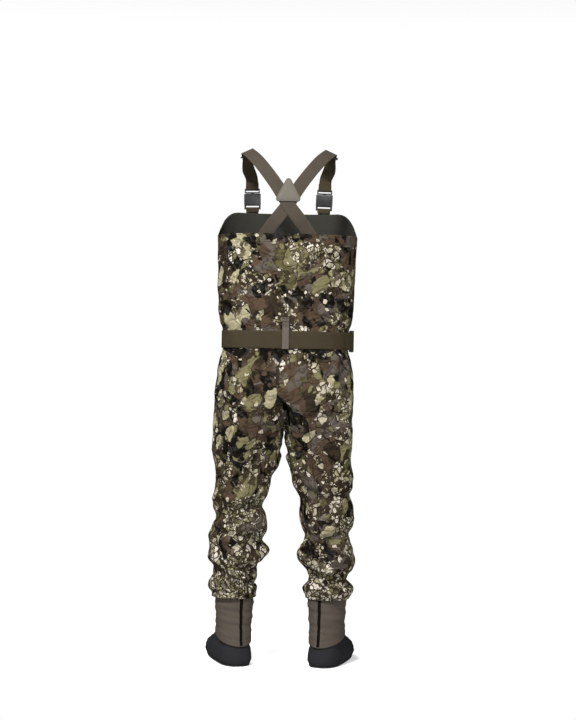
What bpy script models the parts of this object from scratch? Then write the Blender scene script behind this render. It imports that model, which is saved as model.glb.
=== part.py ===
"""Stockingfoot chest waders, standing in the shape they have when worn.

Metres, +Z up, the wearer faces -Y and the wearer's left is +X. The soles stand on z = 0.
The shell is one surface cut into its sewn panels; hardware is built in a frame of its own and set in place.
"""

import math

import bpy
from mathutils import Matrix, Vector

# ---------------------------------------------------------------- driving dimensions
BELT_WIDTH = 0.0508
STRAP_WIDTH = 0.038
LAMINATE = 0.0016
NEOPRENE = 0.004
GUARD_CLOTH = 0.003
ELASTIC = 0.0020
WEBBING = 0.0016
GAP = 0.0004

WAIST_Z = 0.948
BIB_BACK_Z = 1.252
BIB_FRONT_Z = 1.330
CROTCH_Z = 0.702
GUARD_TOP_Z = 0.224
GUARD_BACK_Z = 0.058
GUARD_FRONT_Z = 0.097
SHOULDER = Vector((0.121, -0.004, 1.494))
FOOT_SPLAY = math.radians(20)
ANKLE = Vector((0.136, 0.018))
ORIGIN_SHIFT = Vector((0, 0.0154, 0))

# Height, half width and half depth of the shell round the trunk.
TRUNK = (
    (1.330, 0.205, 0.129),
    (1.252, 0.205, 0.129),
    (1.130, 0.202, 0.129),
    (1.040, 0.200, 0.128),
    (1.000, 0.193, 0.126),
    (0.981, 0.185, 0.119),
    (0.915, 0.184, 0.119),
    (0.893, 0.203, 0.131),
    (0.860, 0.214, 0.139),
    (0.800, 0.219, 0.143),
    (0.745, 0.218, 0.142),
)
TRUNK_SQUARENESS = 2.5

# Height, then centre out from the middle, centre back, half width and half depth of one leg.
LEG = (
    (0.660, 0.110, 0.000, 0.1020, 0.115),
    (0.600, 0.111, 0.000, 0.0960, 0.108),
    (0.545, 0.120, 0.000, 0.0860, 0.098),
    (0.480, 0.131, 0.000, 0.0790, 0.088),
    (0.410, 0.130, 0.002, 0.0800, 0.084),
    (0.340, 0.132, 0.006, 0.0850, 0.086),
    (0.270, 0.137, 0.012, 0.0720, 0.079),
    (0.225, 0.137, 0.014, 0.0690, 0.076),
    (0.197, 0.137, 0.016, 0.0650, 0.073),
)

BELT_TOP_Z = 0.981
BIB_SHARES = (1.0, 0.86, 0.70, 0.53, 0.36, 0.18, 0.0)
HIP_HEIGHTS = (0.915, 0.893, 0.860, 0.800, 0.745)
ROUND = 32
QUARTER = ROUND // 4
CROTCH_POINTS = 7
LEG_ROUND = ROUND // 2 + 1 + CROTCH_POINTS
BACK_SEAM, FRONT_SEAM = 1, 13

# Height, half width, heel reach and toe reach of a stocking foot, about its ankle.
FOOT = (
    (0.0045, 0.044, 0.068, 0.196),
    (0.0150, 0.048, 0.071, 0.204),
    (0.0300, 0.049, 0.071, 0.203),
    (0.0450, 0.047, 0.068, 0.188),
    (0.0600, 0.043, 0.063, 0.155),
    (0.0750, 0.041, 0.060, 0.115),
    (0.0920, 0.040, 0.057, 0.080),
    (0.1150, 0.041, 0.054, 0.060),
    (0.1500, 0.045, 0.054, 0.056),
    (0.2000, 0.048, 0.055, 0.057),
    (0.2350, 0.050, 0.057, 0.058),
)
FOOT_ROUND = 24
FOOT_SQUARENESS = 2.4

# Share of the way down, half width, back reach and front reach of a gravel guard.
GUARD = (
    (0.00, 0.0590, 0.064, 0.064),
    (0.25, 0.0560, 0.062, 0.064),
    (0.50, 0.0530, 0.062, 0.068),
    (0.75, 0.0500, 0.064, 0.077),
    (1.00, 0.0490, 0.069, 0.090),
)

SOCKET_LENGTH = 0.034
BAR_CLEAR = 0.0034
MIDDLE_BAR = 0.0133
HOOK_WIRE = 0.0011
RING_WIRE = 0.0015


# ---------------------------------------------------------------- materials
def material(name, colour, roughness, metallic=0.0):
    made = bpy.data.materials.new(name)
    made.use_nodes = True
    shader = made.node_tree.nodes["Principled BSDF"]
    shader.inputs["Base Color"].default_value = (*colour, 1)
    shader.inputs["Roughness"].default_value = roughness
    shader.inputs["Metallic"].default_value = metallic
    return made


# ---------------------------------------------------------------- making objects
def new_object(name, mesh, paint, place=None):
    made = bpy.data.objects.new(name, mesh)
    mesh.materials.append(paint)
    bpy.context.scene.collection.objects.link(made)
    made.parent = waders
    if place is not None:
        made.matrix_local = place
    return made


def mesh_from(name, points, faces):
    mesh = bpy.data.meshes.new(name)
    mesh.from_pydata([tuple(p) for p in points], [], faces)
    mesh.validate()
    return mesh


def soft_mesh(name, points, faces):
    """A mesh of triangles, shaded smooth except at its sharp edges, for cloth and webbing that bends."""
    triangles = []
    for face in faces:
        if len(face) != 4:
            triangles.append(face)
            continue
        a, b, c, d = face
        if (points[a] - points[c]).length > (points[b] - points[d]).length:
            a, b, c, d = b, c, d, a
        triangles += [(a, b, c), (a, c, d)]
    mesh = mesh_from(name, points, triangles)
    mesh.shade_smooth()
    mesh.set_sharp_from_angle(angle=math.radians(40))
    return mesh


def block(low, high):
    """A box's eight points and six faces, outward."""
    (x0, y0, z0), (x1, y1, z1) = low, high
    points = [(x, y, z) for x in (x0, x1) for y in (y0, y1) for z in (z0, z1)]
    faces = [(0, 1, 3, 2), (4, 6, 7, 5), (0, 4, 5, 1), (2, 3, 7, 6), (0, 2, 6, 4), (1, 5, 7, 3)]
    return points, faces


def box(name, low, high, paint, place=None, rounding=0.0):
    made = new_object(name, mesh_from(name, *block(low, high)), paint, place)
    if rounding:
        bevel = made.modifiers.new("edges", "BEVEL")
        bevel.width = rounding
        bevel.segments = 1
    return made


def helper(made):
    made.hide_render = True
    made.display_type = "WIRE"
    return made


def boolean(target, other, operation):
    """Joins other to target, or cuts it out of it; other becomes a helper."""
    step = target.modifiers.new(operation.lower(), "BOOLEAN")
    step.operation = operation
    step.object = helper(other)


def outline_solid(name, outline, thickness, paint, place=None):
    """A flat outline in XY, anticlockwise, made thickness thick about z = 0."""
    count = len(outline)
    points = [(x, y, z) for z in (-thickness / 2, thickness / 2) for x, y in outline]
    faces = [tuple(reversed(range(count))), tuple(range(count, 2 * count))]
    faces += [(i, (i + 1) % count, count + (i + 1) % count, count + i) for i in range(count)]
    return new_object(name, mesh_from(name, points, faces), paint, place)


def frame_at(origin, along, outward):
    """A placement with local X along, local Z as near outward as can be, and local Y across."""
    x = Vector(along).normalized()
    y = Vector(outward).cross(x).normalized()
    z = x.cross(y)
    place = Matrix((x, y, z)).transposed().to_4x4()
    place.translation = Vector(origin)
    return place


def smoothstep(t):
    t = min(1.0, max(0.0, t))
    return t * t * (3 - 2 * t)


def between(stations, height):
    """The values of a list of stations at a height, straight from one station to the next."""
    ordered = sorted(stations)
    height = min(max(height, ordered[0][0]), ordered[-1][0])
    for low, high in zip(ordered, ordered[1:]):
        if height <= high[0]:
            share = (height - low[0]) / (high[0] - low[0])
            return [a + (b - a) * share for a, b in zip(low[1:], high[1:])]
    return list(ordered[-1][1:])


def superellipse(angle, half_x, half_y, squareness):
    c, s = math.cos(angle), math.sin(angle)
    power = 2 / squareness
    return (
        half_x * math.copysign(abs(c) ** power, c),
        half_y * math.copysign(abs(s) ** power, s),
    )


# ---------------------------------------------------------------- the shell
def top_edge(angle):
    """Height of the bib's top edge: low across the back and under the arms, high on the chest."""
    rise = smoothstep((-math.sin(angle) + 0.05) / 0.80)
    return BIB_BACK_Z + (BIB_FRONT_Z - BIB_BACK_Z) * rise


def trunk_point(angle, height, out=0.0):
    half_x, half_y = between(TRUNK, height)
    x, y = superellipse(angle, half_x + out, half_y + out, TRUNK_SQUARENESS)
    return Vector((x, y, height))


def leg_point(side, column, height):
    """A point of a leg's ring. Columns go from the back of the inner thigh round by the outside."""
    centre_x, centre_y, half_x, half_y = between(LEG, height)
    angle = math.radians(120) - 2 * math.pi * column / LEG_ROUND
    x = centre_x + half_x * math.cos(angle)
    return Vector((side * x, centre_y + half_y * math.sin(angle), height))


def shell_surface():
    """The whole outer surface: its points, and its faces by the name of the panel that they belong to."""
    points, panels = [], {}

    def add_point(point):
        points.append(Vector(point))
        return len(points) - 1

    def add_face(panel, *corners):
        panels.setdefault(panel, []).append(corners)

    angles = [2 * math.pi * i / ROUND for i in range(ROUND)]
    rows = []
    for share in BIB_SHARES:
        heights = [BELT_TOP_Z + (top_edge(a) - BELT_TOP_Z) * share for a in angles]
        rows.append([add_point(trunk_point(a, z)) for a, z in zip(angles, heights)])
    for height in (WAIST_Z, *HIP_HEIGHTS):
        rows.append([add_point(trunk_point(a, height)) for a in angles])

    waist_row = len(BIB_SHARES)
    for row in range(len(rows) - 1):
        for i in range(ROUND):
            if row >= waist_row:
                panel = "seat_panel" if i < 2 * QUARTER else "hip_front_panel"
            else:
                panel = "bib_back_panel" if i < 2 * QUARTER else "bib_front_panel"
            j = (i + 1) % ROUND
            add_face(panel, rows[row][i], rows[row + 1][i], rows[row + 1][j], rows[row][j])

    last = rows[-1]
    front, back = points[last[3 * QUARTER]], points[last[QUARTER]]
    crotch = []
    for n in range(1, CROTCH_POINTS + 1):
        share = n / (CROTCH_POINTS + 1)
        dip = (front.z - CROTCH_Z) * math.sin(math.pi * share)
        crotch.append(add_point(front.lerp(back, share) - Vector((0, 0, dip))))

    for side, name in ((1, "left"), (-1, "right")):
        ring = [last[(QUARTER - side * k) % ROUND] for k in range(ROUND // 2 + 1)] + crotch
        for row, (height, *_) in enumerate(LEG):
            below = [add_point(leg_point(side, k, height)) for k in range(LEG_ROUND)]
            for k in range(LEG_ROUND):
                n = (k + 1) % LEG_ROUND
                if row == 0 and k >= ROUND // 2:
                    panel = "crotch_gusset"
                elif BACK_SEAM <= k < FRONT_SEAM:
                    panel = name + "_leg_outer_panel"
                else:
                    panel = name + "_leg_inner_panel"
                corners = (ring[k], ring[n], below[n], below[k])
                add_face(panel, *(corners if side > 0 else reversed(corners)))
            ring = below
    return points, panels


def point_normals(points, faces):
    normals = [Vector() for _ in points]
    for face in faces:
        a, b, c, d = (points[i] for i in face)
        across = (c - a).cross(d - b)
        for i in face:
            normals[i] += across
    return [n.normalized() if n.length else n for n in normals]


def sheet_solid(name, points, normals, faces, thickness, paint, lift=0.0, inset=GAP / 2):
    """A closed solid of some faces of a surface: them, a copy thickness below them, and walls round the rim.

    The rim is drawn in by inset, so that neighbours cut from one surface don't touch.
    """
    used = sorted({i for face in faces for i in face})
    local = {i: n for n, i in enumerate(used)}
    faces = [tuple(local[i] for i in face) for face in faces]
    points, normals = [points[i] for i in used], [normals[i] for i in used]
    edges = [(a, b) for face in faces for a, b in zip(face, face[1:] + face[:1])]
    known = set(edges)
    rim = [edge for edge in edges if (edge[1], edge[0]) not in known]

    inward = [Vector() for _ in points]
    for a, b in rim:
        along = points[b] - points[a]
        # The face lies on the left of its own edge, seen from outside.
        pull = (normals[a] + normals[b]).cross(along).normalized()
        inward[a] += pull
        inward[b] += pull
    moved = [p + (d.normalized() * inset if d.length else d) for p, d in zip(points, inward)]
    top = [p + n * lift for p, n in zip(moved, normals)]
    bottom = [p + n * (lift - thickness) for p, n in zip(moved, normals)]

    count = len(points)
    solid = list(faces)
    solid += [tuple(count + i for i in reversed(face)) for face in faces]
    solid += [(b, a, count + a, count + b) for a, b in rim]
    return new_object(name, soft_mesh(name, top + bottom, solid), paint)


def make_shell(paint):
    points, panels = shell_surface()
    every = [face for faces in panels.values() for face in faces]
    normals = point_normals(points, every)
    for name, faces in panels.items():
        inset = GAP if name == "crotch_gusset" else GAP / 2
        sheet_solid(name, points, normals, faces, LAMINATE, paint, inset=inset)


# ---------------------------------------------------------------- feet and gravel guards
def foot_place(side):
    """Local X runs from the ankle to the toe, and local Y across the foot."""
    toward = Vector((side * math.sin(FOOT_SPLAY), -math.cos(FOOT_SPLAY), 0))
    return frame_at((side * ANKLE.x, ANKLE.y, 0), toward, (0, 0, 1))


def oval(angle, half_width, back, front, squareness):
    """A point of an oval that reaches further to the front than to the back."""
    reach = front if math.cos(angle) > 0 else back
    return superellipse(angle, reach, half_width, squareness)


def loft(rings):
    """Points and outward faces of a stack of rings, top ring first, each running anticlockwise."""
    points = [p for ring in rings for p in ring]
    count = len(rings[0])
    faces = []
    for row in range(len(rings) - 1):
        for i in range(count):
            j = (i + 1) % count
            faces.append((row * count + i, (row + 1) * count + i, (row + 1) * count + j, row * count + j))
    return points, faces


def make_foot(side, name, upper_paint, sole_paint):
    place = foot_place(side)
    angles = [2 * math.pi * i / FOOT_ROUND for i in range(FOOT_ROUND)]
    rings = [
        [Vector((*oval(a, width, back, front, FOOT_SQUARENESS), height)) for a in angles]
        for height, width, back, front in reversed(FOOT)
    ]
    points, faces = loft(rings)
    normals = point_normals(points, faces)
    upper = sheet_solid(name + "_bootie_upper", points, normals, faces, NEOPRENE, upper_paint, inset=0.0)
    upper.matrix_local = place
    _, width, back, front = FOOT[0]
    outline = [oval(a, width, back, front, FOOT_SQUARENESS) for a in angles]
    lifted = place @ Matrix.Translation((0, 0, NEOPRENE / 2))
    outline_solid(name + "_bootie_sole", outline, NEOPRENE, sole_paint, lifted)


def guard_point(share, angle):
    width, back, front = between(GUARD, share)
    low = GUARD_BACK_Z + (GUARD_FRONT_Z - GUARD_BACK_Z) * (1 + math.cos(angle)) / 2
    x, y = oval(angle, width, back, front, 2.0)
    return Vector((x, y, GUARD_TOP_Z + (low - GUARD_TOP_Z) * share))


def make_guard(side, name, cloth, stripe):
    place = foot_place(side)
    angles = [2 * math.pi * i / FOOT_ROUND for i in range(FOOT_ROUND)]
    rows = 6
    shares = [n / rows for n in range(rows + 1)]
    points, faces = loft([[guard_point(s, a) for a in angles] for s in shares])
    guard = sheet_solid(
        name + "_gravel_guard", points, point_normals(points, faces), faces, GUARD_CLOTH, cloth, inset=GAP / 2
    )
    guard.matrix_local = place

    start = math.pi + side * math.radians(2) - math.radians(5)
    column = [start, start + math.radians(10)]
    shares = [0.02 + 0.96 * n / 8 for n in range(9)]
    points = [guard_point(s, a) for s in shares for a in column]
    faces = [(2 * n, 2 * n + 2, 2 * n + 3, 2 * n + 1) for n in range(8)]
    normals = point_normals(points, faces)
    tape = sheet_solid(name + "_guard_stripe", points, normals, faces, 0.0010, stripe, lift=0.0016)
    tape.matrix_local = place


def make_lace_hook(side, name, cloth, steel):
    """A webbing tab at the front of the guard's hem, and the wire hook that hangs from it over the instep."""
    place = foot_place(side)
    low = guard_point(1.0, 0.0)
    over = Matrix.Translation((low.x + 0.0040, 0, low.z + 0.0135))
    hinge = place @ over @ Matrix.Rotation(math.pi / 2, 4, "Y")
    half, drop = 0.0045, 0.0150
    path = [
        (0.0, -half, 0.0),
        (0.0, half, 0.0),
        (drop, half, 0.0),
        (drop + 0.0026, 0.0022, -0.0010),
        (drop + 0.0028, 0.0, -0.0048),
        (drop - 0.0006, 0.0, -0.0062),
    ]
    hook = wire_object(name + "_lace_hook", path, HOOK_WIRE, steel, closed=False)
    hook.matrix_local = hinge
    outward, across = place.to_3x3() @ Vector((1, 0, 0)), place.to_3x3() @ Vector((0, 1, 0))
    folded_tab(name + "_hook_tab", hinge.translation, HOOK_WIRE, outward, across, 0.006, 0.0008, 0.022, cloth)


def folded_tab(name, bar, wire, outward, across, width, thickness, length, paint):
    """Webbing sewn flat to a wall, running down behind a wire bar, round it, and back up behind."""
    bar, outward = Vector(bar), Vector(outward).normalized()
    down = Vector((0, 0, -1))
    radius = wire + 0.0004 + thickness / 2
    front = bar + outward * radius
    route = [(front - down * length, outward), (front - down * 0.002, outward)]
    route += turn_round(bar, down, outward, radius, length - 0.004)
    return ribbon(name, route, width, thickness, paint, across=across)


def wire_object(name, path, radius, paint, closed):
    curve = bpy.data.curves.new(name, "CURVE")
    curve.dimensions = "3D"
    curve.bevel_depth = radius
    curve.bevel_resolution = 1
    curve.use_fill_caps = not closed
    line = curve.splines.new("POLY")
    line.points.add(len(path) - 1)
    for point, place in zip(line.points, path):
        point.co = (*place, 1)
    line.use_cyclic_u = closed
    return new_object(name, curve, paint)


# ---------------------------------------------------------------- ribbons
def smooth_route(stops, step=0.012):
    """A smooth curve through stops of (point, outward), as evenly spaced (point, outward) pairs."""
    route = []
    for n in range(len(stops) - 1):
        four = [stops[min(max(n + k, 0), len(stops) - 1)] for k in (-1, 0, 1, 2)]
        spots = [Vector(s[0]) for s in four]
        length = (spots[2] - spots[1]).length
        count = max(1, round(length / step))
        for k in range(count):
            t = k / count
            point = 0.5 * (
                2 * spots[1]
                + (spots[2] - spots[0]) * t
                + (2 * spots[0] - 5 * spots[1] + 4 * spots[2] - spots[3]) * t**2
                + (3 * spots[1] - 3 * spots[2] + spots[3] - spots[0]) * t**3
            )
            route.append((point, Vector(four[1][1]).lerp(Vector(four[2][1]), t)))
    route.append((Vector(stops[-1][0]), Vector(stops[-1][1])))
    return route


def turn_round(bar, along, outward, radius, run):
    """The route of a strap that comes along on the outward side of a bar, turns round it, and runs back."""
    along, outward = Vector(along).normalized(), Vector(outward).normalized()
    steps = 6
    route = []
    for n in range(steps + 1):
        angle = math.pi * n / steps
        away = outward * math.cos(angle) + along * math.sin(angle)
        route.append((Vector(bar) + away * radius, away))
    route.append((Vector(bar) - outward * radius - along * run, -outward))
    return route


def ribbon(name, route, width, thickness, paint, across=None):
    """A flat strap along a route of (point, outward). across fixes its width's direction."""
    points = []
    for n, (point, outward) in enumerate(route):
        before, after = route[max(n - 1, 0)][0], route[min(n + 1, len(route) - 1)][0]
        along = (after - before).normalized()
        if across is None:
            side = outward.cross(along).normalized()
        else:
            side = Vector(across).normalized()
        up = along.cross(side).normalized()
        for w, t in ((-1, -1), (1, -1), (1, 1), (-1, 1)):
            points.append(point + side * (w * width / 2) + up * (t * thickness / 2))
    last = len(route) - 1
    faces = [(0, 3, 2, 1), (4 * last, 4 * last + 1, 4 * last + 2, 4 * last + 3)]
    for n in range(last):
        for k in range(4):
            m = (k + 1) % 4
            faces.append((4 * n + k, 4 * n + m, 4 * n + 4 + m, 4 * n + 4 + k))
    return new_object(name, soft_mesh(name, points, faces), paint)


# ---------------------------------------------------------------- side-release buckles
def make_buckle(prefix, place, webbing, thickness, plastic):
    """Socket, plug and two spring arms. The plug pulls out along local X; local Z faces outward."""
    half = webbing / 2
    outer = half + 0.006
    cavity = half + 0.0025
    wall = 0.0022
    mouth = SOCKET_LENGTH
    roof = thickness / 2 - wall

    low, high = (-0.0015, -outer, -thickness / 2), (mouth, outer, thickness / 2)
    socket = box(prefix + "_socket", low, high, plastic, place, 0.0012)
    tail = box(prefix + "_tail", (-0.0140, -outer, -0.0020), (0.0005, outer, 0.0020), plastic, place)
    boolean(socket, tail, "UNION")
    hollow = box(prefix + "_hollow", (0.0030, -cavity, -roof), (mouth + 0.01, cavity, roof), plastic, place)
    boolean(socket, hollow, "DIFFERENCE")
    slot_low, slot_high = (-0.0100, -half - 0.001, -0.01), (-0.0030, half + 0.001, 0.01)
    boolean(socket, box(prefix + "_slot", slot_low, slot_high, plastic, place), "DIFFERENCE")
    for side in (-1, 1):
        ends = sorted((side * (cavity - 0.001), side * (outer + 0.005)))
        window = box(
            prefix + f"_window_{side}", (0.0092, ends[0], -roof), (0.0250, ends[1], roof), plastic, place
        )
        boolean(socket, window, "DIFFERENCE")

    low, high = (mouth + 0.0007, -half - 0.004, -0.0022), (mouth + 0.0150, half + 0.004, 0.0022)
    plug = box(prefix + "_plug", low, high, plastic, place)
    guide = box(prefix + "_guide", (0.0060, -0.004, -0.0018), (mouth + 0.002, 0.004, 0.0018), plastic, place)
    boolean(plug, guide, "UNION")
    slot_low, slot_high = (mouth + 0.0045, -half - 0.001, -0.01), (mouth + 0.0112, half + 0.001, 0.01)
    boolean(plug, box(prefix + "_plug_slot", slot_low, slot_high, plastic, place), "DIFFERENCE")

    arm = (
        (mouth - 0.0003, half - 0.0060),
        (mouth - 0.0003, half - 0.0010),
        (0.0275, half - 0.0010),
        (0.0236, half + 0.0012),
        (0.0236, outer - 0.0004),
        (0.0160, outer + 0.0004),
        (0.0124, outer - 0.0014),
        (0.0080, half + 0.0005),
        (0.0065, half - 0.0020),
        (0.0095, half - 0.0042),
        (0.0240, half - 0.0048),
    )
    height = 2 * roof - 0.0012
    for side, label in ((1, "a"), (-1, "b")):
        outline = [(x, side * y) for x, y in (arm if side > 0 else reversed(arm))]
        outline_solid(f"{prefix}_arm_{label}", outline, height, plastic, place)


def socket_bar(place):
    return place @ Vector((-0.0120, 0, 0))


def plug_bar(place):
    return place @ Vector((SOCKET_LENGTH + 0.0131, 0, 0))


# ---------------------------------------------------------------- suspenders
# The left shoulder's strap starts at the right of the back and crosses outside the other one.
BACK_ROUTE = (
    ((-0.0840, 0.1120, 1.215), (0, 1, -0.10)),
    ((-0.0690, 0.1165, 1.240), (0, 1, -0.12)),
    ((-0.0500, 0.1245, 1.270), (0, 1, -0.12)),
    ((-0.0290, 0.1325, 1.298), (0, 1, 0.05)),
    ((0.0000, 0.1300, 1.336), (0, 1, 0.08)),
    ((0.0310, 0.1255, 1.386), (0, 1, 0.09)),
    ((0.0640, 0.1110, 1.432), (0.10, 1, 0.50)),
    ((0.0960, 0.0700, 1.473), (0.32, 0.55, 0.80)),
)
CROSSING = {
    1: (0, 0.0014, 0.0014, 0.0016, 0.0016, 0.0016, 0, 0),
    -1: (0, 0, 0, -0.0016, -0.0016, -0.0016, 0, 0),
}


def mirrored(vector, side):
    return Vector((side * vector[0], vector[1], vector[2]))


def shoulder_place(side):
    """The ladder lock's frame: its pivot bar's centre, X forward over the shoulder, Z up off it."""
    return frame_at(mirrored(SHOULDER, side), (side * 0.06, -0.99, 0.02), (side * 0.42, 0.05, 0.90))


def front_place(side):
    """The front buckle's frame: X up the strap, Z out from the chest."""
    return frame_at((side * 0.108, -0.1262, 1.356), (side * 0.03, 0.06, 1), (side * 0.27, -0.96, 0.05))


def make_ladder_lock(side, name, plastic, cloth):
    """The lock's frame, and the front webbing's turn: in under it, up over its middle bar, and out again."""
    place = shoulder_place(side)
    half = STRAP_WIDTH / 2
    outer = half + 0.0045
    low, high = (-0.0021, -outer, -0.0019), (0.0285, outer, 0.0019)
    lock = box(name + "_ladder_lock", low, high, plastic, place, 0.0006)
    for label, start, end in (("rear", 0.0021, 0.0115), ("front", MIDDLE_BAR + 0.0018, 0.0225)):
        low, high = (start, -half - 0.001, -0.01), (end, half + 0.001, 0.01)
        slot = box(f"{name}_{label}_slot", low, high, plastic, place)
        boolean(lock, slot, "DIFFERENCE")
    lip = outline_solid(
        name + "_lip",
        [(0.0262, -0.0010), (0.0285, -0.0010), (0.0345, 0.0042), (0.0331, 0.0054), (0.0262, 0.0012)],
        2 * outer - 0.002,
        plastic,
        place @ Matrix.Rotation(math.pi / 2, 4, "X"),
    )
    boolean(lock, lip, "UNION")

    radius = 0.0030 + WEBBING / 2
    under, tail = -0.0051, -0.0031
    turn = [(0.0420, under), (0.0300, under), (0.0160, under)]
    for n in range(7):
        angle = math.radians(250 - 205 * n / 6)
        turn.append((MIDDLE_BAR + radius * math.cos(angle), radius * math.sin(angle)))
    turn += [(MIDDLE_BAR + 0.0054, 0.0000), (MIDDLE_BAR + 0.0076, tail), (0.0300, tail), (0.0420, tail)]
    across = place.to_3x3() @ Vector((0, 1, 0))
    route = [(place @ Vector((x, 0, z)), across) for x, z in turn]
    ribbon(name + "_webbing_turn", route, STRAP_WIDTH - 0.001, WEBBING, cloth, across=across)


def make_suspenders(elastic, webbing, plastic):
    for side, name in ((1, "left"), (-1, "right")):
        lifts = [Vector((0, lift, 0)) for lift in CROSSING[side]]
        stops = [(mirrored(p, side) + lift, mirrored(n, side)) for (p, n), lift in zip(BACK_ROUTE, lifts)]
        lock = shoulder_place(side)
        forward, out = lock.to_3x3() @ Vector((1, 0, 0)), lock.to_3x3() @ Vector((0, 0, 1))
        bar = lock.translation
        radius = BAR_CLEAR + ELASTIC / 2
        arrive = (bar - forward * 0.028 + out * radius * 1.2, out)
        route = smooth_route([*stops, arrive, (bar - forward * 0.010 + out * radius, out)])
        route += turn_round(bar, forward, out, radius, 0.022)
        ribbon(name + "_back_strap", route, STRAP_WIDTH, ELASTIC, elastic)
        make_ladder_lock(side, name, plastic, webbing)

        buckle = front_place(side)
        make_buckle(name + "_front_buckle", buckle, STRAP_WIDTH, 0.011, plastic)
        up, face = buckle.to_3x3() @ Vector((1, 0, 0)), buckle.to_3x3() @ Vector((0, 0, 1))
        start = lock @ Vector((0.0424, 0, -0.0051))
        onward = lock @ Vector((0.0520, 0, -0.0062))
        radius = BAR_CLEAR + WEBBING / 2
        bar = plug_bar(buckle)
        stops = [
            (start, out),
            (onward, out),
            (mirrored((0.1225, -0.0870, 1.4630), side), mirrored((0.26, -0.75, 0.60), side)),
            (bar + up * 0.034 + face * radius * 1.4, face),
            (bar + up * 0.008 + face * radius, face),
        ]
        route = smooth_route(stops) + turn_round(bar, -up, face, radius, 0.020)
        ribbon(name + "_front_webbing", route, STRAP_WIDTH, WEBBING, webbing)

        bar = socket_bar(buckle)
        low = mirrored((0.1040, -0.1245, 1.262), side)
        route = [(low, face), (low + (bar - up * 0.006 + face * radius - low) * 0.9, face)]
        route += turn_round(bar, up, face, radius, 0.0100)
        across = buckle.to_3x3() @ Vector((0, 1, 0))
        ribbon(name + "_front_anchor_tab", route, STRAP_WIDTH, WEBBING, webbing, across=across)


def make_yoke(leather):
    """The two patches sewn over and under the place where the straps cross."""
    half, height = 0.0350, 0.0640
    tip, corner = 0.0080, 0.0060
    outline = [(-tip * 0.8, height), (-tip * 1.3, height - 0.006)]
    outline += [(-half, corner + 0.004), (-half + 0.002, 0.0035), (-half + corner, 0.001)]
    outline += [(-half / 2, -0.0030), (0, -0.0045), (half / 2, -0.0030)]
    outline += [(half - corner, 0.001), (half - 0.002, 0.0035), (half, corner + 0.004)]
    outline += [(tip * 1.3, height - 0.006), (tip * 0.8, height), (0, height + 0.002)]
    for name, out, thickness in (("yoke_outer_patch", 0.0052, 0.0022), ("yoke_inner_patch", -0.0050, 0.0014)):
        place = Matrix.Translation((0, 0.1296 + out, 1.345)) @ upright(Vector((0, -0.083, 1)).normalized())
        outline_solid(name, outline, thickness, leather, place)


def upright(lean):
    """A turn that stands a flat outline on edge: X across the back, Y up along lean, Z out behind."""
    x = Vector((-1, 0, 0))
    z = x.cross(lean).normalized()
    return Matrix((x, lean, z)).transposed().to_4x4()


# ---------------------------------------------------------------- belt
BELT_OUT = 0.0023
BELT_THICK = 0.0024
BUCKLE_X = -0.1935
KEEPER_X = -0.022


def belt_place():
    """The belt buckle's frame, at the wearer's right: the plug pulls out towards the front."""
    return frame_at((BUCKLE_X, 0.0215, WAIST_Z), (0, -1, 0), (-1, 0, 0))


def make_belt(webbing, loop_cloth, plastic):
    place = belt_place()
    make_buckle("belt_buckle", place, BELT_WIDTH, 0.013, plastic)
    forward, out = Vector((0, -1, 0)), Vector((-1, 0, 0))
    radius = BAR_CLEAR + BELT_THICK / 2

    def hoop(degrees, lift=BELT_OUT):
        angle = math.radians(degrees)
        return trunk_point(angle, WAIST_Z, lift), Vector((math.cos(angle), math.sin(angle), 0))

    step = 180 / ROUND
    bar = socket_bar(place)
    route = [hoop(n * step) for n in range(-24, 29)] + [(bar - forward * 0.006 + out * radius, out)]
    route += turn_round(bar, forward, out, radius, 0.007)
    ribbon("belt_webbing", route, BELT_WIDTH, BELT_THICK, webbing, across=(0, 0, 1))

    bar = plug_bar(place)
    inner, outer = BELT_OUT, BELT_OUT + BELT_THICK + 0.0010
    route = [hoop(d, inner) for d in (-137.5, -146.25, -157.5)]
    route += [(bar + forward * 0.006 - out * radius, out)] + turn_round(bar, -forward, -out, radius, 0.010)
    route += [hoop(-157.5, outer + 0.0008), hoop(-146.25, outer), hoop(-137.5, outer)]
    ribbon("belt_plug_webbing", route, BELT_WIDTH, BELT_THICK, webbing, across=(0, 0, 1))
    route = [hoop(n * step, outer) for n in range(-24, -14)]
    ribbon("belt_tail", route, BELT_WIDTH, BELT_THICK, webbing, across=(0, 0, 1))

    make_belt_keeper(plastic)
    for name, degrees in (("belt_loop_back", 90), ("belt_loop_left", -45)):
        make_belt_loop(name, math.radians(degrees), loop_cloth)


def make_belt_loop(name, angle, cloth):
    outward = Vector((math.cos(angle), math.sin(angle), 0))
    stops = []
    for height, out in ((1.012, 0.0026), (0.996, 0.0026), (0.984, 0.0034), (0.975, 0.0062)):
        stops.append((trunk_point(angle, height, out), outward))
    for height in (0.948, 0.9215):
        stops.append((trunk_point(angle, height, 0.0062), outward))
    across = Vector((-math.sin(angle), math.cos(angle), 0))
    ribbon(name, [(Vector(p), Vector(n)) for p, n in stops], 0.020, 0.0016, cloth, across=across)


def make_belt_keeper(elastic):
    """A loop that holds the belt's free tail down."""
    x = KEEPER_X
    face = trunk_point(math.radians(-90), WAIST_Z, BELT_OUT).y - BELT_THICK * 1.5 - 0.0010
    high, front = BELT_WIDTH / 2 + 0.0022, face - 0.0005
    low, top = (x - 0.006, front - 0.0012, WAIST_Z - high), (x + 0.006, face + 0.0056, WAIST_Z + high)
    keeper = box("belt_keeper", low, top, elastic)
    low, top = (x - 0.02, front, WAIST_Z - high + 0.0012), (x + 0.02, face + 0.01, WAIST_Z + high - 0.0012)
    boolean(keeper, box("keeper_inner", low, top, elastic), "DIFFERENCE")


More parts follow.
